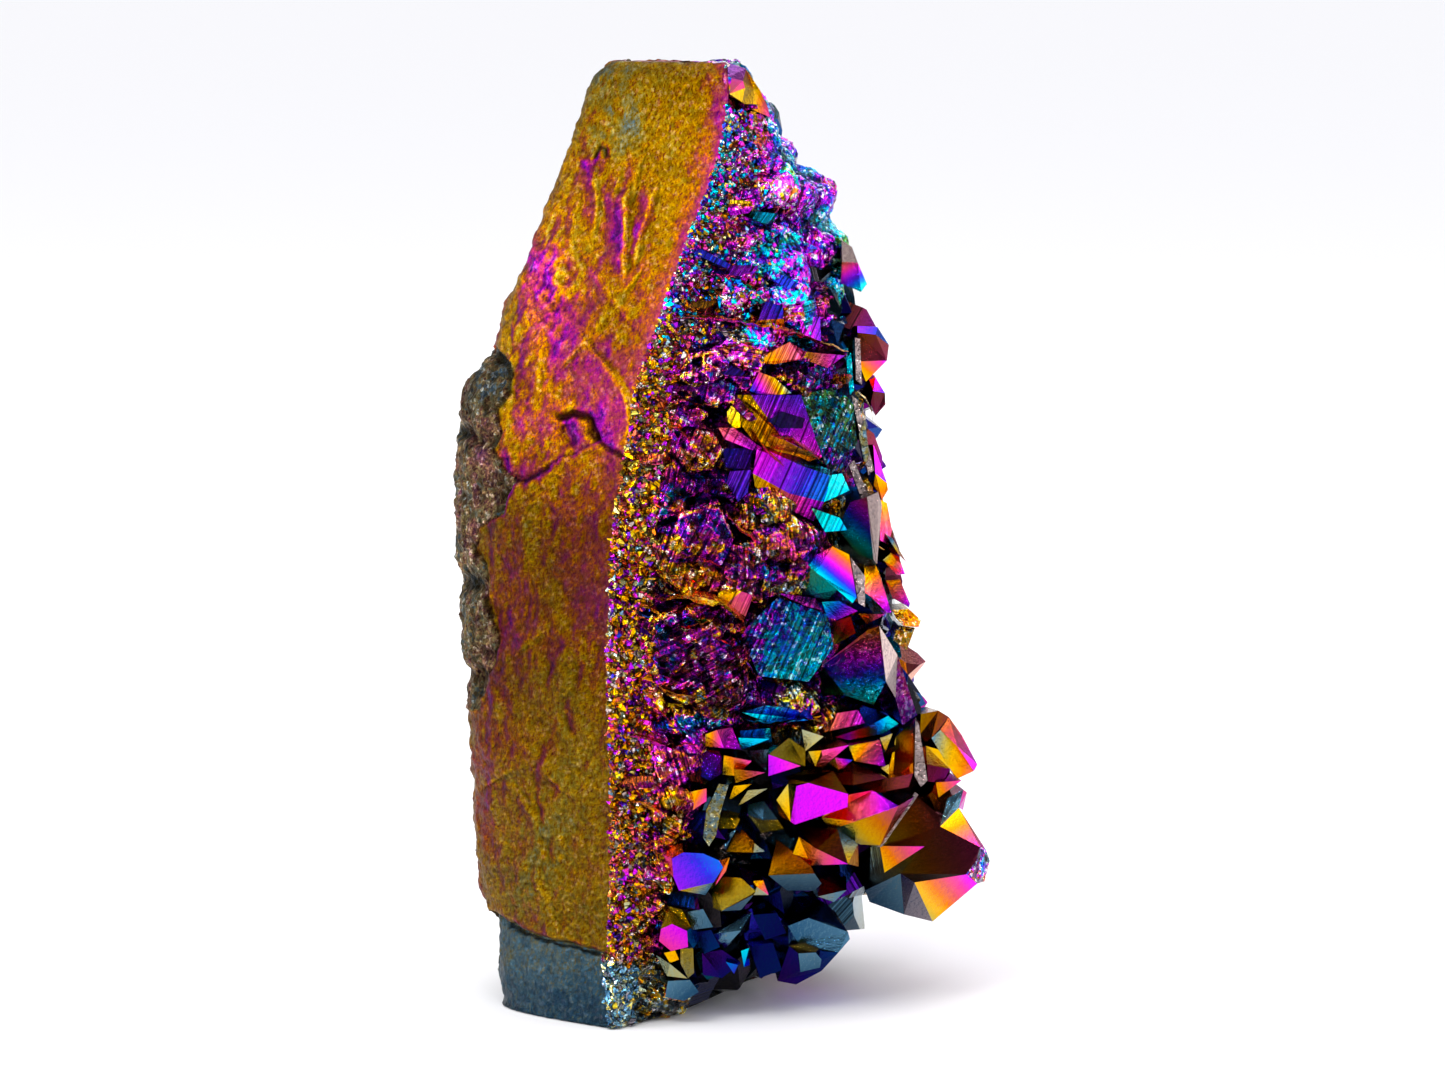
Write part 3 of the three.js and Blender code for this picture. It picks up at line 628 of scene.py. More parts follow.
def quartz_share(turns):
    """1 on granular and broken quartz, 0 on agate, rind and back."""
    return ease(turns / 0.05) * (1 - ease((turns - 4.35) / 0.4))


def rind_share(turns, p, across, up):
    """1 on the rind, 0 on everything else."""
    edge_across, edge_up = np.array(RIND_EDGE).T
    seen = np.interp(up, edge_up, edge_across) + 0.5 * rough(p, 2.4, 2, 73)
    in_front = 1 - ease((across - seen) / 0.7)
    in_front = in_front * (up > edge_up[0] - 2) * (up < edge_up[-1] + 2)
    wander = 0.16 * rough(p, 7, 3, 71)
    last_behind = 7.1 - 0.5 * ease((up - 134) / 6)
    behind = 1 - ease((turns + wander - last_behind) / 0.1)
    return ease((turns - 5.9 + wander) / 0.4) * np.where(turns > 6.3, np.maximum(in_front, behind), 1)


def rind_relief(p):
    """Big lumps with small lumps on them, notched along the edge that is seen."""
    big, _, _ = cells(p, 8.6, 81)
    small, _, _ = cells(p, 3.0, 85)
    relief = 3.2 * np.sqrt(np.clip(1 - big * big, 0, 1)) - 2.6
    relief += 1.0 * np.sqrt(np.clip(1 - small * small, 0, 1)) - 0.7
    near_edge = ease((6 - p[..., 1]) / 12)
    for up, depth in RIND_NOTCHES:
        notch = np.exp(-(((p[..., 2] - up + 1.2 * swell(p, 5, 87)) / 1.5) ** 2))
        relief -= depth * near_edge * notch
    return relief + 0.34 * rough(p, 1.1, 2, 88)


def closed_rows(turns, rows):
    """Rows of the body from the middle of the foot, up the wall, to the middle of the top."""
    wall = body_ring(turns, np.linspace(0, TOP, rows))
    shrink = np.linspace(1, 0, END_ROWS, endpoint=False) ** 1.5
    foot_middle = on_rails(np.zeros(1)).mean(axis=0)[0]
    top_middle = on_rails(np.full(1, TOP)).mean(axis=0)[0]
    foot, top = [], []
    for s in shrink:
        row = wall[:, 0].copy()
        row[:, :2] = blend(row[:, :2], foot_middle, s)
        foot.append(row)
        row = wall[:, -1].copy()
        row[:, :2] = blend(row[:, :2], top_middle, s)
        top.insert(0, row)
    z = wall[:, :, 2]
    near_top = np.clip((z - TOP + 2 * END_ROUNDING) / (2 * END_ROUNDING), 0, 1) ** 2
    inwards = ROUNDED_IN * near_top[..., None]
    wall[..., :2] = blend(wall[..., :2], top_middle, inwards)
    for n, row in enumerate(top):
        row[:, :2] = blend(row[:, :2], top_middle, ROUNDED_IN * (1 - shrink[::-1][n]))
    return np.concatenate([np.stack(foot, 1), wall, np.stack(top, 1)], 1)


class Coated:
    """Something with a coat, over which other coats are laid."""

    def lay(self, share, **values):
        """Move each named value towards a new one, by a share from 0 to 1 at every point."""
        for name, value in values.items():
            setattr(self, name, blend(getattr(self, name), value, share))


class Quartz(Coated):
    """The broken quartz of a stretch: its height above the body, and its coat."""

    def __init__(self, surface):
        self.base, self.turns = surface.base, surface.turns
        self.across, self.up = surface.across, surface.up
        self.beside = self.across - ridge_across(self.up)
        self.fine = rough(self.base, 1.3, 2, 91)
        self.coarse = rough(self.base, 5, 3, 93)
        self.break_columns()
        self.paint_crests_and_hollows()
        self.lump_aside()
        self.raise_mounds()
        self.bare_edge()
        self.granulate()
        self.sink()

    def break_columns(self):
        """Stubs of broken columns, with splinters all over them."""
        stubs = Envelope(self.up.shape, VALLEY)
        chips = Envelope(self.up.shape, 0.0)
        if self.turns.max() < MOST_TURNS_DRAWN:
            for n, stub in enumerate(STUBS):
                stubs.add(self.across, self.up, stub, n)
            chips = chips_over(self.across, self.up)
        sugary = stubs.glitter
        height = stubs.height + 0.6 * self.coarse + blend(0.2, 1.0, sugary) * chips.height
        self.height = height + blend(0.06, 0.3, sugary) * self.fine
        own_film = (chips.shade > 0.75) * ease(sugary / 0.5)
        self.film = blend(stubs.film, chips.film, own_film) + 0.06 * self.coarse
        self.shade = (0.15 + stubs.shade) * blend(1, chips.shade, blend(0.4, 1, sugary))
        self.glitter = blend(0.4, 0.8, sugary)
        self.along, self.chip_shade = stubs.along, chips.shade

    def paint_crests_and_hollows(self):
        """Crests are golden with a painted highlight, hollows indigo with painted shade."""
        low_front = 1 - ease((self.up - 128) / 16)
        stands = self.height - smoothed(self.height, 14)
        crest = ease((stands - 0.2) / 0.4)
        hollow = ease((-0.15 - stands) / 0.5)
        at_foot = ease((18 - self.up) / 5)
        self.lay(0.85 * crest * low_front, film=blend(GOLD, STEEL, at_foot))
        self.lay(blend(0.4, 0.8, low_front) * hollow, film=INDIGO)
        # Painted light by how far a point stands out: a highlight on crests, shade in hollows; brighter
        # high up, darker on the low front.
        shade = self.shade * (0.35 + 1.5 * ease((stands + 0.5) / 1.1))
        shade = shade * (1 - 0.8 * hollow) * (1 + 2.6 * crest * low_front) * blend(1.5, 0.4, low_front)
        # Yellow films high up are painted darker, to hold back their glare.
        yellow = np.exp(-(((self.film - 0.12) / 0.13) ** 2))
        self.shade = shade * (1 - 0.65 * yellow * (1 - low_front))

    def lump_aside(self):
        """Round the corner, lumps by chance take the place of the drawn stubs."""
        aside = ease((self.turns - 1.5) / 0.35)
        near, after, owner = cells(self.base, 9.0, 101)
        lump = np.clip(after - near, 0, 0.5)
        height = 3.8 * lump + 0.7 * self.coarse + 0.4 * self.fine - 0.8
        low_films = pick_all(np.array(CHIP_FILMS), owner)
        high_films = pick_all(np.array(TOP_CHIP_FILMS), owner)
        film = np.where(self.up > 132, high_films, low_films) + 0.1 * self.coarse
        # Painted shade between the lumps: each is brightest in its middle and darker at its edges; all are
        # brighter higher up.
        shade = (0.12 + 0.5 * ease(2.4 * lump)) * blend(0.5, 1, ease((self.up - 120) / 20))
        self.lay(aside, height=height, film=film, shade=shade)

    def raise_mounds(self):
        """Rounded mounds bulge out of the top right edge."""
        for across, up, half_width, half_height, bulge, film in TOP_MOUNDS:
            reach = ((self.across - across) / half_width) ** 2 + ((self.up - up) / half_height) ** 2
            self.height = self.height + bulge * np.exp(-reach)
            self.lay(0.8 * np.exp(-reach), film=film + 0.12 * self.coarse)

    def bare_edge(self):
        """The far edge is bare glassy quartz."""
        bare = ease((self.across - np.interp(self.up, *FAR_EDGE)) / 2.5) * (self.turns < 2)
        film = pick_all(BARE_FILMS, cells(self.base, 2.2, 99)[2])
        self.lay(bare, film=film, shade=0.1 + 0.5 * self.chip_shade)

    def granulate(self):
        """The granular band along the ridge, wide at the top."""
        band = 6 + 2 * ease((self.up - 138) / 14)
        granular = (1 - ease((self.beside - band) / 4)) * (self.turns < 2)
        speckle = cells(self.base, 1.6, 97)[2]
        warm = 1 - ease((self.up - 122) / 20)
        film = blend(GOLD, VIOLET, speckle) * (1 - warm) + blend(OLIVE, PINK, speckle**1.5) * warm
        shade = 0.16 + 0.8 * speckle**2
        self.lay(granular, height=0.2 + 0.5 * self.fine, film=film, glitter=0.7, shade=shade)

    def sink(self):
        """It sinks behind the low front crystals, painted almost black there as shade, and behind the
        highest column's end.
        """
        deep = ease((62 - self.up) / 8) * ease((self.beside - 16) / 6) * (self.turns < 2.2)
        self.lay(deep, shade=0.09, film=SLATE, height=VALLEY)
        sunk = ease((self.up - 182) / 2) * ease((self.across - 5) / 1.5) * (self.turns < 2.4)
        self.lay(sunk, height=-3.5)


class Surface(Coated):
    """A stretch of the body: points with relief, and what its coat looks like."""

    def __init__(self, start, end, columns, rows):
        turns = np.linspace(start, end, columns)
        base = closed_rows(turns, rows)
        sideways = np.gradient(base, axis=0)
        upward = np.gradient(base, axis=1)
        out = np.cross(sideways, upward)
        size = np.linalg.norm(out, axis=-1, keepdims=True)
        out = np.where(size > 1e-6, out / np.maximum(size, 1e-6), [0, 0, 1])
        self.on_wall = np.zeros(base.shape[:2], bool)
        self.on_wall[:, END_ROWS:-END_ROWS] = True
        self.turns = np.broadcast_to(turns[:, None], base.shape[:2])
        self.base, self.out = base, out
        self.across, self.up = to_sketch(base)
        self.dress()

    def dress(self):
        """Lay the coat of every material, and raise the points by their relief."""
        quartz = quartz_share(self.turns)
        rind = rind_share(self.turns, self.base, self.across, self.up)
        agate = 1 - np.clip(quartz + rind, 0, 1)
        relief = self.dress_agate(agate)
        relief = self.dress_rind(rind, relief)
        if quartz.max() > 0:
            relief += quartz * self.dress_quartz(quartz)
        self.dress_foot(quartz, agate)
        relief = np.where(self.on_wall, relief, 0.4 * relief - 0.4)
        self.points = self.base + self.out * relief[..., None]
        self.points[..., 2] = np.clip(self.points[..., 2], 0, TOP)
        self.points[:, : END_ROWS + 1, 2] = 0

    def dress_agate(self, agate):
        """Agate is satin, its film in blotches. Its relief is returned."""
        p, across, up = self.base, self.across, self.up
        behind = ease((self.turns - 4.3) / 0.3) * (1 - ease((self.turns - 7.4) / 0.3))
        near_ridge = np.exp(-(((across - ridge_across(up)) / RIDGE_BAND) ** 2))
        self.film = blotched(p, across, up, GOLD - 0.01)
        ridge_film = blend(0.35, 0.41, ease((up - 100) / 40))
        self.lay(0.9 * near_ridge * ease((up - 50) / 40), film=ridge_film)
        self.lay(behind, film=blend(GOLD, PINK, 0.5 + 0.6 * rough(p, 11, 3, 51)))
        self.glitter = 0.1 * agate
        self.shade = np.interp(up, *AGATE_SHADE) * (1 + 0.18 * rough(p, 7, 3, 57))
        self.rough = np.full(across.shape, 0.42)
        self.along = np.zeros(across.shape)
        relief, crack_shade = agate_relief(p, across, up)
        relief = agate * relief
        relief += behind * agate * 1.2 * rough(p, 6, 4, 55)
        self.paint_side_light(relief, agate, behind)
        pale_ridge = 0.5 * near_ridge * ease((up - 125) / 15)
        # Painted shade in the cracks.
        self.shade = self.shade * (1 - 0.8 * agate * crack_shade)
        self.shade = self.shade * (1 + agate * (0.8 * lumpy_patch(across, up) + pale_ridge))
        # Yellow rim with a painted highlight along the ledge beside the ridge.
        from_rim, _ = line_distance(across, up, RIM_HIGHLIGHT_LINE)
        rim = np.exp(-((from_rim / 0.4) ** 2)) * agate * (1 - behind)
        self.lay(0.9 * rim, film=0.19)
        self.lay(0.8 * rim, shade=0.75)
        return relief

    def paint_side_light(self, relief, agate, behind):
        """Painted light from one side: slopes facing left magenta and darker, facing right golden and
        brighter.
        """
        widths = np.gradient(self.across, axis=0)
        broad = smoothed(relief, 5)
        dents = np.clip((relief - broad) / 0.16, -0.7, 1.0) * agate
        slope = np.gradient(broad, axis=0) / np.where(np.abs(widths) > 0.1, widths, 9)
        slope = np.clip(slope, -0.5, 0.5) * agate * (1 - behind)
        magenta = np.maximum(self.film, 0.54)
        self.film = np.minimum(self.film + 0.5 * np.maximum(slope, 0), magenta)
        self.lay(ease(-3 * slope), film=np.maximum(0.19, self.film - 0.1))
        # dents: a painted highlight on bumps and painted shade in hollows.
        self.shade = self.shade * (1 - 0.9 * slope) * (1 + 0.6 * dents)

    def dress_rind(self, rind, relief):
        """Rind is dark and dusty, with a faint glitter. The relief with its lumps is returned."""
        p = self.base
        lumps = rind_relief(p)
        dusting = 0.2 + 0.1 * rough(p, 3, 3, 61) + 0.08 * rough(p, 14, 2, 63)
        # Painted shade in the crevices between the lumps.
        crevice_shade = 0.25 + 0.75 * ease((lumps + 1.6) / 1.6)
        shade = (0.095 + 0.06 * rough(p, 2, 3, 62)) * crevice_shade
        self.lay(rind, film=dusting, shade=shade, glitter=0.4, rough=0.6)
        # The seam along the agate is a groove with painted shade.
        seam = 4 * rind * (1 - rind)
        self.shade = self.shade * (1 - 0.8 * seam)
        return relief + rind * lumps - 0.5 * seam

    def dress_quartz(self, quartz):
        """Quartz is smooth and glittering. The relief it has is returned."""
        layer = Quartz(self)
        self.lay(quartz, film=layer.film, glitter=layer.glitter, shade=layer.shade, rough=0.12)
        self.along = layer.along
        return layer.height

    def dress_foot(self, quartz, agate):
        """The foot has hardly any film: steel blue, darker towards the floor."""
        foot = below_foot_line(self.across, self.up)
        self.lay(foot * (1 - 0.4 * quartz), film=STEEL - 0.045 * ease((14 - self.up) / 12))
        self.lay(foot * agate, shade=0.17, rough=0.34)


def ridge_across(up):
    """Where the ridge runs on the sketch at the given heights on the sketch."""
    line = np.array(RAILS["ridge"])
    return np.interp(up, line[:, 1], line[:, 0])


# ---- Meshes -------------------------------------------------------------------------------------

ATTRIBUTES = ("film", "glitter", "shade", "rough", "along")
BAKE_MAP = "OFBake"  # name of the UV map on every piece
MAP_EDGE = 0.002  # margin of the UV map of a grid


def dress_piece(piece, material):
    """Give a piece its material, link it to the scene, hang it on the root body and hide the CAD part."""
    piece.data.materials.append(material)
    bpy.context.scene.collection.objects.link(piece)
    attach(piece, "root")
    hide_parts(NODE)
    return piece


def grid_piece(name, surface, material, smooth=True):
    """A piece from a surface's grid of points, with its coat as point attributes."""
    columns, rows = surface.points.shape[:2]
    mesh = bpy.data.meshes.new(name)
    index = np.arange(columns * rows).reshape(columns, rows)
    a, b = index[:-1, :-1].ravel(), index[1:, :-1].ravel()
    c, d = index[1:, 1:].ravel(), index[:-1, 1:].ravel()
    quads = np.stack([a, b, c, d], 1)
    mesh.vertices.add(columns * rows)
    mesh.vertices.foreach_set("co", (surface.points * MM).ravel())
    mesh.loops.add(quads.size)
    mesh.loops.foreach_set("vertex_index", quads.ravel())
    mesh.polygons.add(len(quads))
    mesh.polygons.foreach_set("loop_start", np.arange(0, quads.size, 4))
    mesh.polygons.foreach_set("use_smooth", np.full(len(quads), smooth))
    mesh.update(calc_edges=True)
    for attribute in ATTRIBUTES:
        layer = mesh.attributes.new(attribute, "FLOAT", "POINT")
        layer.data.foreach_set("value", getattr(surface, attribute).ravel().astype(np.float32))
    u = np.repeat(np.linspace(MAP_EDGE, 1 - MAP_EDGE, columns), rows)
    v = np.tile(np.linspace(MAP_EDGE, 1 - MAP_EDGE, rows), columns)
    uv = mesh.uv_layers.new(name=BAKE_MAP)
    uv.data.foreach_set("uv", np.stack([u, v], 1)[quads.ravel()].ravel())
    return dress_piece(bpy.data.objects.new(name, mesh), material)


LOWEST = 0.05  # no corner of a flat face is lower than this


class Facets:
    """Flat faces gathered into one mesh. Every corner of a face has its own coat."""

    def __init__(self):
        self.points, self.faces, self.coat = [], [], {name: [] for name in ATTRIBUTES}

    def add(self, corners, film, glitter=0.0, shade=1.0, rough=0.1, along=0.0):
        """Add a face. Every value is one number, or one for each corner."""
        start = len(self.points)
        self.points.extend(np.array([x, y, max(z, LOWEST)]) for x, y, z in corners)
        self.faces.append(range(start, start + len(corners)))
        values = {"film": film, "glitter": glitter, "shade": shade, "rough": rough, "along": along}
        for name, value in values.items():
            if np.ndim(value):
                self.coat[name].extend(value)
            else:
                self.coat[name].extend([value] * len(corners))

    def bake_places(self):
        """Each face flattened into its own cell of a square."""
        side = math.ceil(math.sqrt(len(self.faces)))
        places = []
        for n, face in enumerate(self.faces):
            p = np.array([self.points[k] for k in face])
            spread = p - p.mean(0)
            _, _, axes = np.linalg.svd(spread, full_matrices=False)
            flat = spread @ axes[:2].T
            flat /= 2.3 * np.abs(flat).max() + 1e-9
            places.append((flat + 0.5 + (n % side, n // side)) / side)
        return np.concatenate(places)

    def piece(self, name, material):
        mesh = bpy.data.meshes.new(name)
        mesh.from_pydata([tuple(p * MM) for p in self.points], [], self.faces)
        for attribute, values in self.coat.items():
            layer = mesh.attributes.new(attribute, "FLOAT", "CORNER")
            layer.data.foreach_set("value", np.array(values, np.float32))
        mesh.uv_layers.new(name=BAKE_MAP).data.foreach_set("uv", self.bake_places().ravel())
        return dress_piece(bpy.data.objects.new(name, mesh), material)


# ---- Convex solids ------------------------------------------------------------------------------

END_FACE_LEAN = math.radians(51.8)  # lean of a quartz point's end faces from its axis


def polytope(planes):
    """Faces of the convex solid inside all planes (normal, distance): normals with corners."""
    normals = np.array([n for n, _ in planes])
    distances = np.array([d for _, d in planes])
    triples = np.array(
        [(i, j, k) for i in range(len(planes)) for j in range(i) for k in range(j)]
    )
    rows = normals[triples]
    fit = np.abs(np.linalg.det(rows)) > 1e-6
    corners = np.linalg.solve(rows[fit], distances[triples[fit]][..., None])[..., 0]
    corners = corners[(corners @ normals.T < distances + 1e-6).all(1)]
    faces = []
    for normal, distance in planes:
        on = corners[np.abs(corners @ normal - distance) < 1e-5]
        if len(on) < 3:
            continue
        on = on[np.unique(np.round(on, 4), axis=0, return_index=True)[1]]
        if len(on) < 3:
            continue
        first = on[0] - on.mean(0)
        first /= np.linalg.norm(first)
        second = np.cross(normal, first)
        angle = np.arctan2((on - on.mean(0)) @ second, (on - on.mean(0)) @ first)
        faces.append((normal, on[np.argsort(angle)]))
    return faces


def unit(v):
    return v / np.linalg.norm(v)


def square_to(axis):
    """Two directions at right angles to an axis."""
    other = np.array([0.0, 0.0, 1.0]) if abs(axis[2]) < 0.9 else RIGHT
    first = unit(np.cross(other, axis))
    return first, np.cross(axis, first)


def lean_between(a, b, lean):
    return a * math.cos(lean) + b * math.sin(lean)


def crystal_faces(axis, radius, spin, length, seed):
    """A six-sided quartz crystal with its tip at the origin, its faces unequal by chance."""
    first, second = square_to(axis)
    planes = [(-axis, length)]
    for k in range(6):
        angle = spin + k * math.pi / 3
        side = first * math.cos(angle) + second * math.sin(angle)
        planes.append((side, radius * (1 - 0.22 * chance(seed, k, 1))))
        set_back = 0.05 + 0.2 * chance(seed, k, 2) if k % 2 else 0.06 * chance(seed, k, 3)
        planes.append((lean_between(axis, side, END_FACE_LEAN), radius * set_back))
    return polytope(planes)


def shard_faces(seed):
    """A broken piece of a column, two across and four long, lying along x."""
    x, y, z = np.eye(3)
    planes = []
    for k in range(5):
        angle = (k + 0.6 * (chance(seed, k, 1) - 0.5)) * 2 * math.pi / 5
        side = y * math.cos(angle) + z * math.sin(angle)
        planes.append((unit(side + 0.35 * (chance(seed, k, 2) - 0.5) * x), 0.7 + 0.3 * chance(seed, k, 3)))
    for end in (x, -x):
        for k in range(2):
            tilt = 1.5 * (chance(seed, k, 4) - 0.5) * y + 1.5 * (chance(seed, k, 5) - 0.5) * z
            tilt *= 1 if end[0] > 0 else -1
            planes.append((unit(end + tilt), 1.5 + 0.4 * chance(seed, k, 6)))
    return polytope(planes)


def grain_faces(seed):
    """A small irregular grain, about two across."""
    planes = []
    for k in range(8):
        corner = np.array([1 if k & 1 else -1, 1 if k & 2 else -1, 1 if k & 4 else -1], float)
        lean = np.array([chance(seed, k, n) - 0.5 for n in (1, 2, 3)])
        planes.append((unit(corner + 1.2 * lean), 0.75 + 0.35 * chance(seed, k, 4)))
    return polytope(planes)


def add_crystal(facets, tip, axis, radius, spin, length, seed, tip_film, root_film, shade=1.0):
    """A six-sided crystal, its film running from the tip to the root."""
    for n, (normal, corners) in enumerate(crystal_faces(axis, radius, spin, length, seed)):
        depth = -(corners @ axis) / (2.2 * radius)
        shift = 0.12 * (chance(seed, n, 41) - 0.5)
        # Faces that look up are painted darker, down to 0.45 of the shade: painted shade by how a face is
        # turned.
        looks_up = ease(0.5 + 1.6 * normal[2])
        lined = float(abs(normal @ axis) < 0.2)  # growth lines cross the column's sides only
        facets.add(
            list(corners + tip),
            blend(tip_film, root_film, np.clip(depth, 0, 1.3)) + shift,
            shade=float(shade * blend(1.0, 0.45, looks_up) * (0.85 + 0.15 * chance(seed, n, 42))),
            along=list(-lined * (corners @ axis) + 50 * chance(seed, n, 43)),
        )
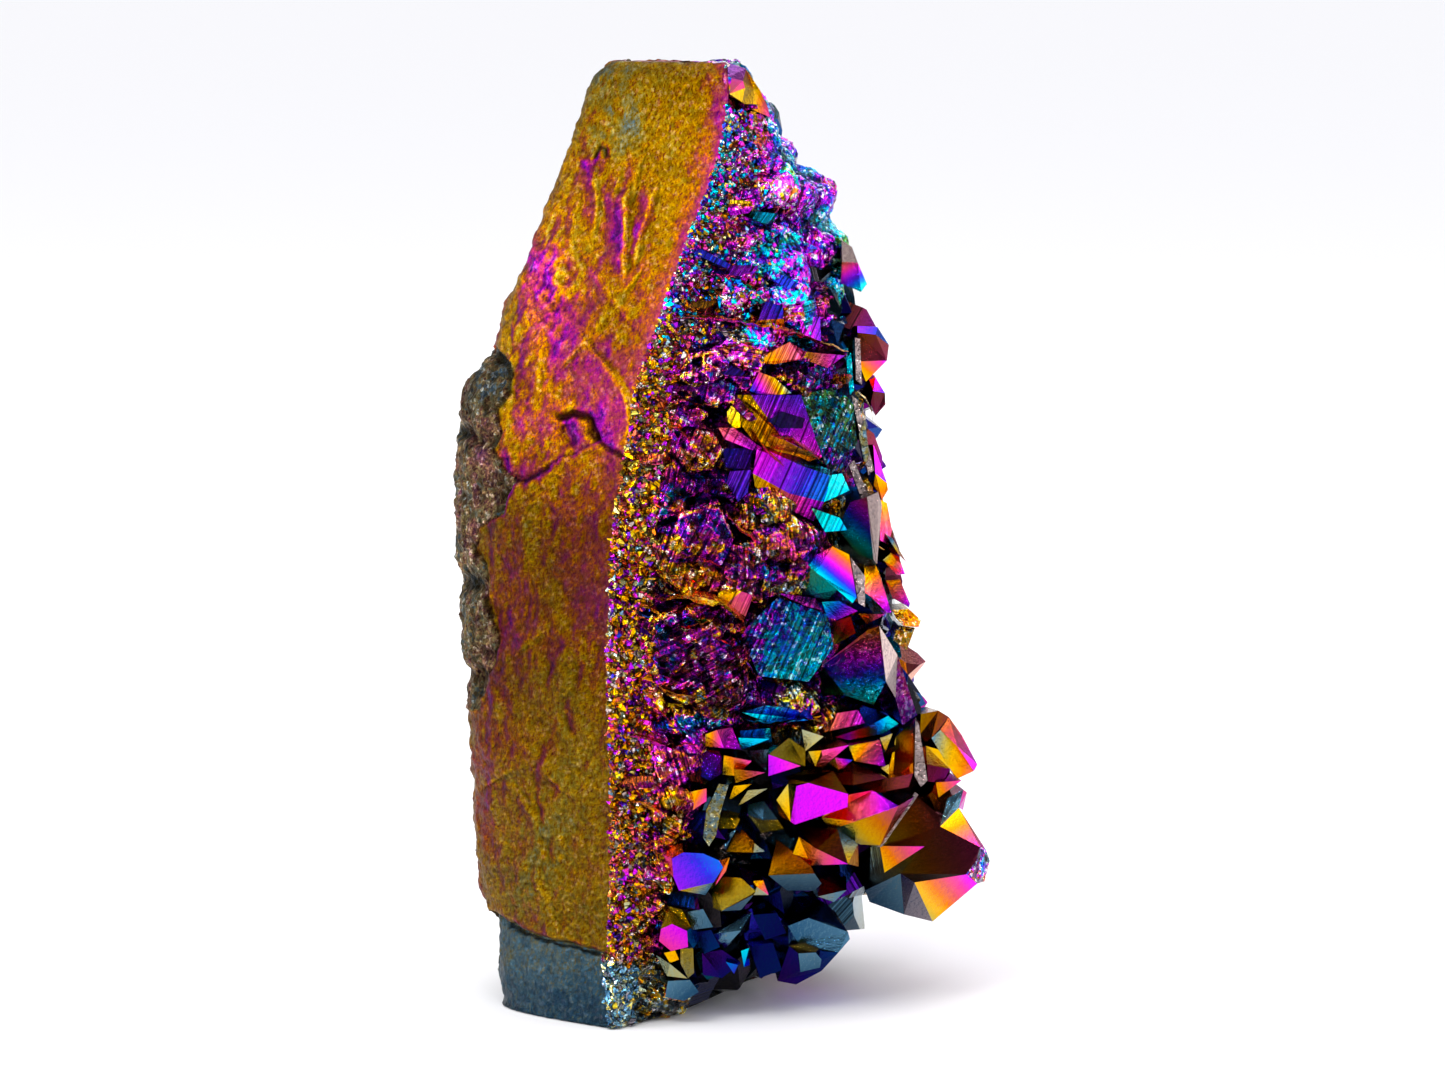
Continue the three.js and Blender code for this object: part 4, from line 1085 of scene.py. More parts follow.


# ---- Faceted crystals, drawn face by face -------------------------------------------------------

# A crystal: y of its base plane (None: each corner starts from the bare body), then its corners
# (across, up, how far they stand out towards the eye), then its faces. A face has its corners,
# the two corners between which its film runs, the film at each, its shade and perhaps its glitter.
# Each face's shade is painted light and shade: upper faces mostly painted dark, lower faces bright. DARK is
# the painted shade of the darkest faces.
DARK = 0.065  # shade of the dark faces
CRYSTALS = [
    # the biggest point, low on the right
    (-5, dict(a=(40.1, 30.3, 12), b=(48.1, 39.7, 5), c=(56, 35.6, 1), d=(55.3, 32.9, 3),
              e=(53.2, 30.1, 6), f=(42.9, 28.5, 15), g=(55.5, 28.3, 3), h=(46.5, 20.7, 5),
              i=(40.8, 22.1, 5), j=(33.9, 24.6, 6), k=(33, 26.9, 9), l=(51.8, 43.4, 0),
              m=(57.1, 35.2, -1), n=(58, 32.9, -1), o=(56.9, 28.7, -1)),
     [("abcdef", "ac", GOLD, 0.44, 0.05), ("fegh", "hg", 0.14, 0.54, 1.05),
      ("kaij", "ka", SLATE, STEEL, 0.5), ("afhi", "ah", -0.03, -0.06, 0.9), ("blmc", "lm", 0.2, 0.5, 1),
      ("cmnoged", "cg", INDIGO, MAGENTA, 0.3, 1.0)]),
    # above it
    (-14, dict(a=(36, 35.8, 5), b=(43.1, 45.9, 2), c=(47.9, 42, 2), d=(48.1, 39.7, 3),
               e=(44.9, 35.7, 7), f=(36.9, 30.5, 2)),
     [("abcde", "ad", OLIVE, MAUVE, DARK), ("aef", "fe", 0.2, 0.5, 1)]),
    # the broad face that turns from yellow to violet
    (-22, dict(a=(24.3, 41.5, 4), b=(29.9, 46.1, 6), c=(34.4, 46.9, 5), d=(39.7, 43.8, 6),
               e=(31.2, 40.7, 7), f=(25.9, 39.1, 4), g=(42.9, 45.7, 2), h=(36, 35.9, 1),
               i=(32.1, 36.1, 1)),
     [("abcdef", "ad", 0.15, 0.62, 1), ("fedghi", "ig", 0.14, 0.52, 0.6)]),
    # the magenta pentagon
    (-26, dict(a=(19.3, 47.8, 7), b=(21.7, 48.4, 7), c=(29.6, 46.2, 7), d=(29.5, 43.6, 5.5),
               e=(19, 40.1, 3.5), f=(18.1, 40.7, 3.3), g=(15.3, 45, 2.5), h=(17.6, 48.2, 3.5),
               i=(15.8, 42, 2), j=(17.4, 49.5, 3), k=(21.7, 51.2, 2), l=(26.6, 50.8, 3)),
     [("abcdef", "ad", 0.55, 0.53, 1.05), ("ghafi", "gf", 0.16, 0.23, 1),
      ("hjklcba", "kb", OLIVE, 0.24, DARK)]),
    # dark above, orange below
    (-25, dict(a=(19.2, 39.7, 1), b=(27.5, 39.1, 3), c=(29.6, 32.2, 6), d=(23.4, 35.2, 6.5),
               e=(19.8, 37.6, 5), f=(22.2, 31.9, 3.5), g=(18.5, 34, 3), h=(31.6, 36.3, 1),
               i=(31.7, 31.7, 1)),
     [("abcde", "ac", 0.2, 0.38, 0.08), ("edcfg", "gc", 0.2, 0.54, 1),
      ("bhic", "hi", 0.08, 0.25, 0.4)]),
    # the brown pyramid
    (-26, dict(a=(15.4, 37, 0), b=(13.7, 29.9, 4), c=(22.9, 30.3, 4.5), d=(22.2, 31.7, 3.8),
               e=(18.8, 34.5, 2), f=(24.3, 28.3, 2.5), g=(22.9, 26.9, 1), h=(17.4, 26.9, 1)),
     [("abcde", "be", 0.24, 0.3, 0.1), ("bcfgh", "cg", 0.06, 0.0, 0.45)]),
    # small steel crystal
    (-20, dict(a=(23.6, 25.7, 3), b=(29.3, 27, 3), c=(26.8, 24.6, 1), d=(24, 29.5, 0),
               e=(29.3, 29.7, 0)),
     [("abc", "ac", 0.09, 0.06, 1), ("adeb", "ab", MAUVE, INDIGO, 0.08)]),
    # the steel-blue block at the bottom right
    (-14, dict(a=(17.6, 19.8, 6), b=(21.7, 21.4, 6), c=(26.1, 20.2, 6), d=(29.6, 18.6, 3),
               e=(30, 17.2, 2.5), f=(27.7, 14.5, 4), g=(24.7, 14.7, 5), h=(19.7, 16.3, 5),
               i=(17.8, 15.6, 4), j=(24.7, 24.6, 1), k=(27, 22.7, 0.5), l=(24.3, 10.8, 1),
               m=(19.2, 8.1, 0), n=(15.5, 8.8, 0)),
     [("abcdefghi", "ic", 0.0, 0.02, 1.0), ("bjkdc", "bd", 0.7, 0.73, 0.07),
      ("felmnihg", "fn", 0.73, 0.63, 0.16)]),
    (-14, dict(a=(19.7, 14.3, 7), b=(23.1, 14.5, 7), c=(24.3, 13.1, 6), d=(24, 11.5, 5),
               e=(20.1, 10.6, 5), f=(17.8, 15.8, 5.5), g=(21, 16.5, 6), h=(23.8, 15.3, 6)),
     [("abcde", "ea", 0.02, 0.05, 0.9), ("fghba", "fb", 0.16, 0.12, 0.12)]),
    # light steel triangle
    (-24, dict(a=(2.7, 18.2, 3), b=(10.3, 22.5, 4), c=(8.2, 18.9, 5), d=(5, 15.4, 2),
               e=(9.8, 19, 1)),
     [("abcd", "ab", 0.06, 0.02, 0.95), ("bedc", "bd", 0, 0.02, 0.2)]),
    # dark filler: a face painted dark as the shade in the gap behind the outline group
    (-3, dict(a=(42, 49.4, 0), b=(49, 49.6, 0), c=(50.6, 44.6, 0), d=(46, 42, 1), e=(41.6, 44, 1)),
     [("abcde", "ac", OLIVE, MAUVE, 0.06)]),
    # magenta pentagon with an olive cap, beside the granular band
    (-31, dict(a=(-7.8, 19.2, 3), b=(-5.6, 20.2, 3.5), c=(-2.6, 18.8, 4), d=(-2.4, 15.6, 3.5),
               e=(-5.8, 14.8, 2.5), f=(-8.2, 16.8, 2), g=(-6.4, 23.8, 0.5), h=(-3.6, 23, 1),
               i=(-1.8, 19.6, 2)),
     [("abcdef", "bf", 0.53, 0.45, 0.8), ("ghicba", "gc", OLIVE, GOLD, 0.3)]),
    # small faces under it: gold, olive, and two silver ones
    (-31, dict(a=(-7.2, 14.4, 2), b=(-5, 14.9, 2.5), c=(-4.2, 13.1, 2.5), d=(-6, 12.4, 2)),
     [("abcd", "ac", 0.2, 0.24, 0.9)]),
    (-31, dict(a=(-3.9, 15.2, 2), b=(-1.4, 15.4, 1), c=(-1.2, 10.4, 1), d=(-2.4, 9.4, 2),
               e=(-3.9, 12.4, 3)),
     [("abcde", "ad", OLIVE, 0.12, 0.35)]),
    (-31, dict(a=(-8.8, 14, 1), b=(-6, 12.2, 2.5), c=(-2.5, 9.3, 2), d=(-6.6, 9.8, 1)),
     [("abcd", "ac", 0.09, 0.12, 1)]),
    (-29, dict(a=(-6.4, 8.8, 1.5), b=(-2, 9, 2), c=(-0.2, 6.6, 2), d=(-3.2, 4.8, 1), e=(-7, 5.6, 1)),
     [("abcde", "ad", 0.05, 0.0, 0.8)]),
    # small steel-blue crystals right of it, and dark blue ones below
    (-30, dict(a=(-2.4, 22.6, 1), b=(0.6, 23.2, 2), c=(2.6, 19.6, 2), d=(-1.6, 19, 1)),
     [("abcd", "ac", 0.06, 0.02, 0.6)]),
    (-28, dict(a=(-0.6, 18.6, 1), b=(2.2, 19, 2), c=(4, 15.6, 2), d=(0.8, 14.2, 1)),
     [("abcd", "ac", INDIGO, 0.73, 0.1)]),
    (-25, dict(a=(0.4, 14.4, 1), b=(4.4, 15, 2.5), c=(8.2, 12.4, 2), d=(4.4, 9.4, 1), e=(0.6, 10, 1)),
     [("abcde", "ad", VIOLET, INDIGO, 0.12)]),
    (-25, dict(a=(5.2, 12.6, 3), b=(7.6, 12, 3), c=(6.8, 10.2, 2)),
     [("abc", "ac", AZURE, INDIGO, 0.7)]),
    (-23, dict(a=(8.2, 14.8, 3), b=(9.8, 15.4, 3), c=(9.9, 12, 3), d=(8.8, 11.6, 2)),
     [("abcd", "ac", CYAN, AZURE, 0.9)]),
    (-22, dict(a=(9.8, 16, 1), b=(14.6, 16.4, 2), c=(16.4, 11, 2), d=(12, 9.4, 1)),
     [("abcd", "ac", INDIGO, 0.7, 0.08)]),
    (-24, dict(a=(10.6, 22, 1), b=(15.4, 22.4, 2), c=(17.2, 18.4, 2), d=(13, 17, 1)),
     [("abcd", "ac", 0.7, INDIGO, 0.07)]),
    # olive face
    (-30, dict(a=(2.2, 28.5, 1), b=(5, 29.6, 1), c=(8.2, 29.4, 1.5), d=(11.2, 26.7, 3.5),
               e=(10.7, 26, 4), f=(4.3, 22.8, 5), g=(2.7, 23.4, 4), h=(8.2, 23, 2.5)),
     [("abcdefg", "af", 0.2, 0.15, 0.13), ("feh", "fe", 0.02, 0.05, 0.5)]),
    # blue-violet dome face and its rims
    (-33, dict(a=(-5.6, 33.3, 2.5), b=(-3.3, 34.5, 3), c=(0.6, 34.3, 4), d=(3.8, 32.9, 4),
               e=(4.6, 31.5, 3.5), f=(2.7, 28.5, 2), g=(-4.2, 26.9, 1.5), h=(-5.3, 29.6, 2),
               i=(-9.2, 34.7, 0), j=(-3.5, 36.3, 0), k=(-7.4, 31.3, 0), l=(5.9, 33.5, 0),
               m=(5.2, 30.8, 0), n=(3.1, 28, 0), o=(-3.3, 26, -1), p=(1.1, 26, -0.5)),
     [("abcdefgh", "gd", 0.6, 0.72, 0.95), ("ijba", "ij", 0.5, 0.28, 0.8),
      ("iahk", "ih", 0.46, 0.36, 0.9), ("dlmnfe", "ln", 0.25, 0.45, 0.9),
      ("gfnpo", "og", 0.16, 0.22, 0.9)]),
    (-29, dict(a=(10.7, 28.7, 2), b=(12.6, 29, 2), c=(13.7, 26, 1.5), d=(10.7, 26, 1.5),
               e=(11.4, 27.6, 3)),
     [("abce", "ac", 0.2, 0.45, 1), ("aecd", "ac", 0.12, 0.09, 1.1)]),
    # small brown pyramid with light bits round it
    (-28, dict(a=(7.7, 40, 0.5), b=(5.4, 34.7, 3), c=(10.7, 34.5, 3.5), d=(10.9, 36.3, 3),
               e=(8, 33.8, 2), f=(13, 34.7, 2)),
     [("abcd", "ba", 0.22, 0.3, 0.14), ("bce", "be", 0.2, 0.16, 0.95), ("cdf", "df", 0.12, 0.07, 1)]),
    (-29, dict(a=(4.5, 37.5, 0.5), b=(7.4, 39.3, 1), c=(6, 36.5, 2), d=(5, 35, 1)),
     [("abcd", "ac", 0.09, 0.04, 0.5)]),
    (-29, dict(a=(3.8, 43, 1), b=(5.4, 43.9, 1), c=(8, 41.1, 2), d=(7.1, 39.3, 3),
               e=(3.8, 39.3, 2.5)),
     [("abcde", "ad", 0.15, 0.19, 0.3)]),
    (-29, dict(a=(9.6, 44.1, 1), b=(12.8, 44.8, 1), c=(15.5, 41.1, 2), d=(16.7, 39.3, 2),
               e=(12.3, 38.4, 3), f=(9.6, 42, 2.5), g=(12.6, 41, 3)),
     [("abcgf", "ac", 0.0, 0.05, 0.25), ("fgcde", "fd", 0.12, 0.17, 0.12)]),
    # light and gold wedges
    (-30, dict(a=(7.5, 43.7, 1.5), b=(9.6, 46.9, 4), c=(13.5, 47.3, 3.5)),
     [("abc", "ac", 0.14, 0.1, 1.1)]),
    (-30, dict(a=(5.7, 44.8, 1), b=(6.8, 47.8, 3), c=(10.3, 48.2, 3.5), d=(8.2, 46.6, 2.5)),
     [("abcd", "ac", 0.19, 0.22, 0.95)]),
    (-32, dict(a=(-2.1, 46.6, 2), b=(1.3, 47.3, 3), c=(1.3, 44.8, 2), d=(-1.4, 43, 1)),
     [("abcd", "ac", 0.12, 0.48, 1)]),
    # yellow to pink, with a dark violet pentagon on its left
    (-32, dict(a=(4.8, 53.9, 4.5), b=(10.3, 52.8, 4.5), c=(7.3, 49.8, 2), d=(4.5, 50.1, 1.8)),
     [("abcd", "db", 0.14, 0.47, 1)]),
    (-32, dict(a=(6.8, 51.2, 4.5), b=(13, 50.5, 4), c=(7.1, 48.4, 1.5)),
     [("abc", "cb", 0.2, 0.47, 1)]),
    (-32, dict(a=(-1.4, 53.1, 1), b=(0.2, 55.3, 0.5), c=(3.8, 54.7, 1), d=(4.4, 53.5, 2),
               e=(4.3, 50.3, 4), f=(2, 48.9, 3), g=(-0.8, 50.3, 3)),
     [("abcdefg", "cf", 0.56, 0.68, 0.3)]),
    # magenta triangle under a dark face
    (-31, dict(a=(13.7, 54.1, 5.5), b=(20.1, 51.8, 5), c=(13.7, 49.8, 3), d=(13.7, 55.1, 3),
               e=(17.8, 57.4, 1), f=(21.1, 55.1, 2), g=(21, 51.8, 4), h=(10, 54.9, 1),
               i=(13.2, 51, 2), j=(10.5, 52.8, 1)),
     [("abc", "cb", 0.58, 0.46, 1), ("adefgb", "db", 0.14, 0.18, 0.18),
      ("hdaij", "hi", 0.06, 0.02, 0.45)]),
    # top row
    (-33, dict(a=(0.7, 55.8, 1), b=(1.1, 58.1, 3), c=(3.4, 59, 4), d=(4.8, 55.4, 2.5),
               e=(6.4, 59.5, 1), f=(8.2, 55.1, 3)),
     [("abcd", "ad", 0.13, 0.56, 1), ("cefd", "cf", 0.42, 0.6, 0.35)]),
    (-33, dict(a=(7.7, 57.4, 3), b=(13.9, 57.2, 3), c=(12.8, 56.5, 2), d=(8.4, 55.1, 1.5)),
     [("abcd", "ad", 0.84, 0.8, 1)]),
    (-31, dict(a=(20.4, 59.1, 4), b=(24.7, 57.7, 4), c=(21, 54.7, 1.5)),
     [("abc", "ac", 0.1, 0.13, 1.2)]),
    (-29, dict(a=(21.7, 54.7, 4), b=(24.3, 54.9, 4), c=(24.5, 53.8, 4), d=(23.1, 51.7, 2),
               e=(21.1, 53.1, 2), f=(29.8, 56, 4), g=(24.7, 51.7, 2)),
     [("abcde", "ec", 0.11, 0.24, 1), ("bfgdc", "gf", 0.36, 0.52, 0.9)]),
    (-26, dict(a=(25.9, 52.4, 2), b=(27, 53.5, 3), c=(27.7, 51, 2), d=(30.5, 53, 3),
               e=(28.6, 51.2, 2)),
     [("abc", "ac", 0.15, 0.24, 1), ("bdec", "ed", 0.4, 0.72, 0.9)]),
    (-25, dict(a=(29.8, 55.8, 2), b=(36, 57, 2), c=(37.1, 51.7, 4), d=(30.9, 52.8, 4.5)),
     [("abcd", "ac", 0.13, 0.6, 0.45)]),
    (-22, dict(a=(36, 57.4, 3), b=(38.5, 58.3, 3), c=(37.1, 54.7, 1)),
     [("abc", "ac", 0.12, 0.2, 1)]),
    (-22, dict(a=(36, 51.5, 1), b=(37.8, 52.1, 1.5), c=(37.8, 50.1, 1)),
     [("abc", "ac", 0.12, 0.18, 1.1)]),
    (-26, dict(a=(26.8, 50.8, 1), b=(30.7, 52.4, 1), c=(37.5, 49.4, 3), d=(30.7, 48, 4.5),
               e=(27.9, 48.2, 3.5)),
     [("abcde", "ac", 0.26, 0.42, DARK)]),
    # tall orange faces on the right
    (-18, dict(a=(39.2, 57.7, 1), b=(42.9, 61.1, 3), c=(43.3, 60.4, 3), d=(42.9, 52.8, 5),
               e=(37.6, 50.3, 2), f=(42.6, 50.3, 3), g=(38.5, 48.9, 2)),
     [("abcd", "ac", 0.16, 0.46, 1.1), ("adfge", "af", 0.14, 0.3, 0.9)]),
    (-22, dict(a=(30.9, 48, 2), b=(38, 49.4, 2), c=(42.6, 50.3, 2), d=(41.7, 47.6, 4),
               e=(34.4, 46.2, 4)),
     [("abcde", "ac", 0.26, 0.4, 0.13)]),
    # the group on the right outline
    (-8, dict(a=(44, 58.1, 4), b=(44.2, 62.2, 1), c=(47.7, 62.9, 0), d=(49.8, 61.6, 1),
              e=(46.3, 57.4, 6), f=(45.2, 56.7, 6), g=(52.3, 58.1, 0), h=(55.5, 52.1, 0),
              i=(54.8, 50.8, 1.5), j=(51.4, 55.8, 4), k=(48.1, 59, 5), l=(51.4, 49.2, 3),
              m=(49.5, 52.1, 5), n=(45.2, 55.8, 5), o=(50, 51.2, 4), p=(45.4, 52.1, 3),
              q=(47.7, 55.1, 5), r=(50, 50.3, 3), s=(48.6, 48.5, 3.5), t=(45.6, 48.7, 3)),
     [("abcdef", "ae", 0.24, 0.3, 0.18), ("dghijk", "jh", 0.42, 0.54, 1),
      ("kjilme", "mi", 0.19, 0.36, 1), ("nqmop", "pq", 0.12, 0.21, 1), ("porst", "pr", 0.4, 0.5, 0.12)]),
    (-10, dict(a=(46.3, 46.6, 1), b=(47.2, 48.5, 3), c=(52.3, 48.9, 3), d=(47.7, 45.5, 1)),
     [("abcd", "ac", 0.17, 0.5, 1)]),
    (-10, dict(a=(49.5, 45.3, 1), b=(52.7, 47.1, 0), c=(51.8, 43.4, 2), d=(48.1, 40, 3),
               e=(53.4, 46.5, -1), f=(52.6, 43, -1)),
     [("abcd", "ad", 0.05, 0.08, 0.5), ("befc", "bf", 0.44, 0.5, 0.6)]),
    # rainbow face with the teal face under it
    (-27, dict(a=(20.9, 92.6, 3), b=(26.5, 95.7, 5), c=(29.8, 94.1, 5), d=(31.3, 85.5, 3),
               e=(30.5, 84.4, 3), f=(23.2, 90.5, 5.5), g=(27.5, 87, 4.5), h=(25.5, 85.1, 2),
               i=(21.3, 85.9, 1), j=(19.4, 87.8, 1), z=(25.3, 88.7, 0)),
     [("abcdegf", "cz", 0.2, 0.86, 1), ("afghij", "ag", 0.96, 0.9, 0.45)]),
    (-25, dict(a=(24.4, 84.6, 4), b=(27.8, 84.8, 5), c=(31.5, 82.8, 4), d=(27.5, 81.1, 2),
               e=(25.5, 81.5, 2)),
     [("abcde", "da", 0.6, 0.85, 1)]),
    (-19, dict(a=(32.9, 91.7, 1), b=(35.2, 91.9, 1), c=(36.3, 89.1, 2), d=(37.7, 84.3, 4.4),
               e=(38.3, 82.4, 5), f=(37.4, 82.5, 5), g=(34, 85.8, 4), h=(33, 86.5, 3.6)),
     [("abcdefgh", "ae", 0.19, 0.6, 1.1)]),
    # gold to violet beside it, and the swirled gold crystal under that
    (-12, dict(a=(37.2, 88.9, 1), b=(40, 89.1, 0), c=(42, 84.3, 1), d=(41.8, 83.5, 2),
               e=(38.5, 85.4, 4)),
     [("abcde", "ad", 0.2, 0.6, 1.1)]),
    (-10, dict(a=(38.5, 83, 2), b=(41.8, 83.2, 1), c=(44.2, 81, 0), d=(43.7, 79.5, 2),
               e=(40.7, 79.9, 4), f=(39.2, 81.3, 4)),
     [("abcdef", "ac", 0.2, 0.36, 0.9, 0.3)]),
    (-8, dict(a=(39.6, 80, 2), b=(43, 79.4, 1), c=(41.4, 75, 2), d=(38.6, 77, 4)),
     [("abcd", "ac", 0.14, 0.3, 0.3, 0.5)]),
    # pearl, orange and violet faces higher on the outline
    (-10, dict(a=(37, 98.4, 1), b=(38.6, 97.2, 1), c=(41.4, 92.4, 1), d=(39.8, 94, 3)),
     [("abcd", "ac", PEARL, 0.45, 0.9)]),
    (-10, dict(a=(36.6, 93, 3), b=(38.2, 94.4, 2), c=(39.8, 93.6, 1), d=(41, 90.2, 1),
               e=(39.4, 90, 4)),
     [("abcde", "ad", 0.12, 0.54, 1.1)]),
    (-9, dict(a=(36.2, 105, 1), b=(37.4, 104.4, 0), c=(38.4, 99, 0), d=(37.6, 96, 2),
              e=(36, 97, 3)),
     [("abcde", "be", 0.26, 0.46, 0.9)]),
    # the long dark point
    (-19, dict(a=(30.1, 104.6, 2), b=(33.4, 105.6, 3), c=(34.7, 93.1, 5), d=(31.9, 93.9, 4),
               e=(27.5, 99.2, 2), f=(35.6, 106.6, 2), g=(36.4, 104, 1), h=(35.4, 92.2, 2)),
     [("abcde", "be", 0.38, 0.92, 0.14), ("bfghc", "bh", PEARL, PEARL, 0.5)]),
    # the big teal point
    (-20, dict(a=(24.4, 71.9, 2), b=(33.6, 79, 3), c=(35.9, 79.8, 3), d=(37.2, 68.7, 7),
               e=(34.7, 64.1, 7), f=(29, 66, 6.5), g=(22.5, 67.9, 1), h=(23.6, 65.8, 2),
               i=(39.5, 74, 2), j=(39.1, 65.4, 3), k=(43.4, 62, 0), l=(40.5, 60, 2)),
     [("abcdef", "be", 0.3, 0.95, 0.12, 0.15), ("gafh", "ah", 0.93, 0.97, 0.12),
      ("cijd", "ci", PEARL, PEARL, 0.4), ("iklj", "il", 0.42, 0.62, 0.1, 0.3)]),
    (-20, dict(a=(26.5, 80.5, 1), b=(30.1, 81.7, 1), c=(31.1, 78.4, 3), d=(26.9, 76, 3)),
     [("abcd", "ac", 0.16, 0.2, 0.3)]),
    (-17, dict(a=(31.7, 82.3, 2), b=(37, 82.1, 1.5), c=(33.4, 80.2, 1)),
     [("abc", "ab", 0.2, 0.5, 1)]),
    (-21, dict(a=(27.1, 57.6, 1), b=(33.6, 59.7, 3), c=(37.6, 61.8, 4), d=(39.7, 60.3, 4),
               e=(36.6, 58.3, 2.5), f=(29.8, 57, 1)),
     [("abcdef", "ad", 0.42, 0.9, 0.9)]),
    # outline of the crystal side
    (-6, dict(a=(31.5, 139.8, 1), b=(35.5, 139.6, 1), c=(37.8, 136, 0.5), d=(35.1, 138.1, 3),
              e=(31.5, 138.5, 3), f=(37.4, 132.9, 2), g=(31.7, 132.7, 4), h=(33.2, 128.7, 1.5),
              i=(31.2, 130.2, 1)),
     [("abcde", "ac", 0.6, 0.76, 1.2), ("edcfg", "ef", 0.3, 0.42, 0.12),
      ("gfh", "hf", 0.19, 0.52, 1), ("gih", "gh", 0.09, 0.14, 1)]),
    (-4, dict(a=(33.8, 129.1, 1), b=(35.1, 129.5, 1), c=(37, 126.4, 0.5), d=(34.7, 126.8, 3),
              e=(37.1, 124.1, 1), f=(35.1, 121.8, 2), g=(34.2, 124.5, 3)),
     [("abcd", "ac", 0.48, 0.66, 1.1), ("dcefg", "df", 0.36, 0.44, 0.12)]),
    (-5, dict(a=(34.7, 116.1, 1), b=(37.4, 108.4, 1), c=(35.1, 110.3, 3), d=(37.6, 107, 1),
              e=(36.4, 105, 1), f=(34.8, 108, 2)),
     [("abc", "ab", 0.48, 0.64, 1), ("cbdef", "ce", 0.18, 0.34, 1)]),
    # smooth end of the highest column
    (None, dict(a=(5.5, 192.6, 2), b=(9.2, 191.2, 1.9), c=(8.6, 188.8, 1.7), d=(5.6, 189.6, 1.6),
                e=(6.3, 189.4, 1.7), f=(5.9, 186.2, 0.6), g=(9, 187.4, 1), h=(8.4, 184.6, 0.2),
                i=(12, 187, 0.6), j=(13.6, 183.4, -0.8), k=(14, 181.6, -1.4), l=(10.6, 183, -0.4),
                m=(10.8, 187.2, 0.9)),
     [("abcd", "ac", 0.6, 0.5, 0.6), ("def", "df", CYAN, PEARL, 0.8),
      ("ecgf", "ef", 0.47, 0.34, 0.5), ("fgh", "fg", OLIVE, GOLD, 0.55),
      ("cbimg", "bg", 0.34, 0.2, 0.6), ("gmlh", "gl", 0.17, 0.21, 0.55),
      ("mijkl", "im", 0.26, 0.17, 0.6)]),
    # pearl and rainbow faces on the upper outline
    (-13, dict(a=(28.4, 157, 1), b=(30.4, 155.6, 0), c=(31.6, 152.4, 0), d=(28.4, 152.2, 2)),
     [("abcd", "ac", PEARL, PEARL, 0.5)]),
    (-13, dict(a=(28.4, 152.6, 2), b=(31.6, 152.4, 1), c=(33.4, 148.2, 0), d=(32.2, 146.6, 2),
               e=(28.2, 148.4, 3)),
     [("abcde", "ad", 0.3, 0.9, 0.6)]),
]

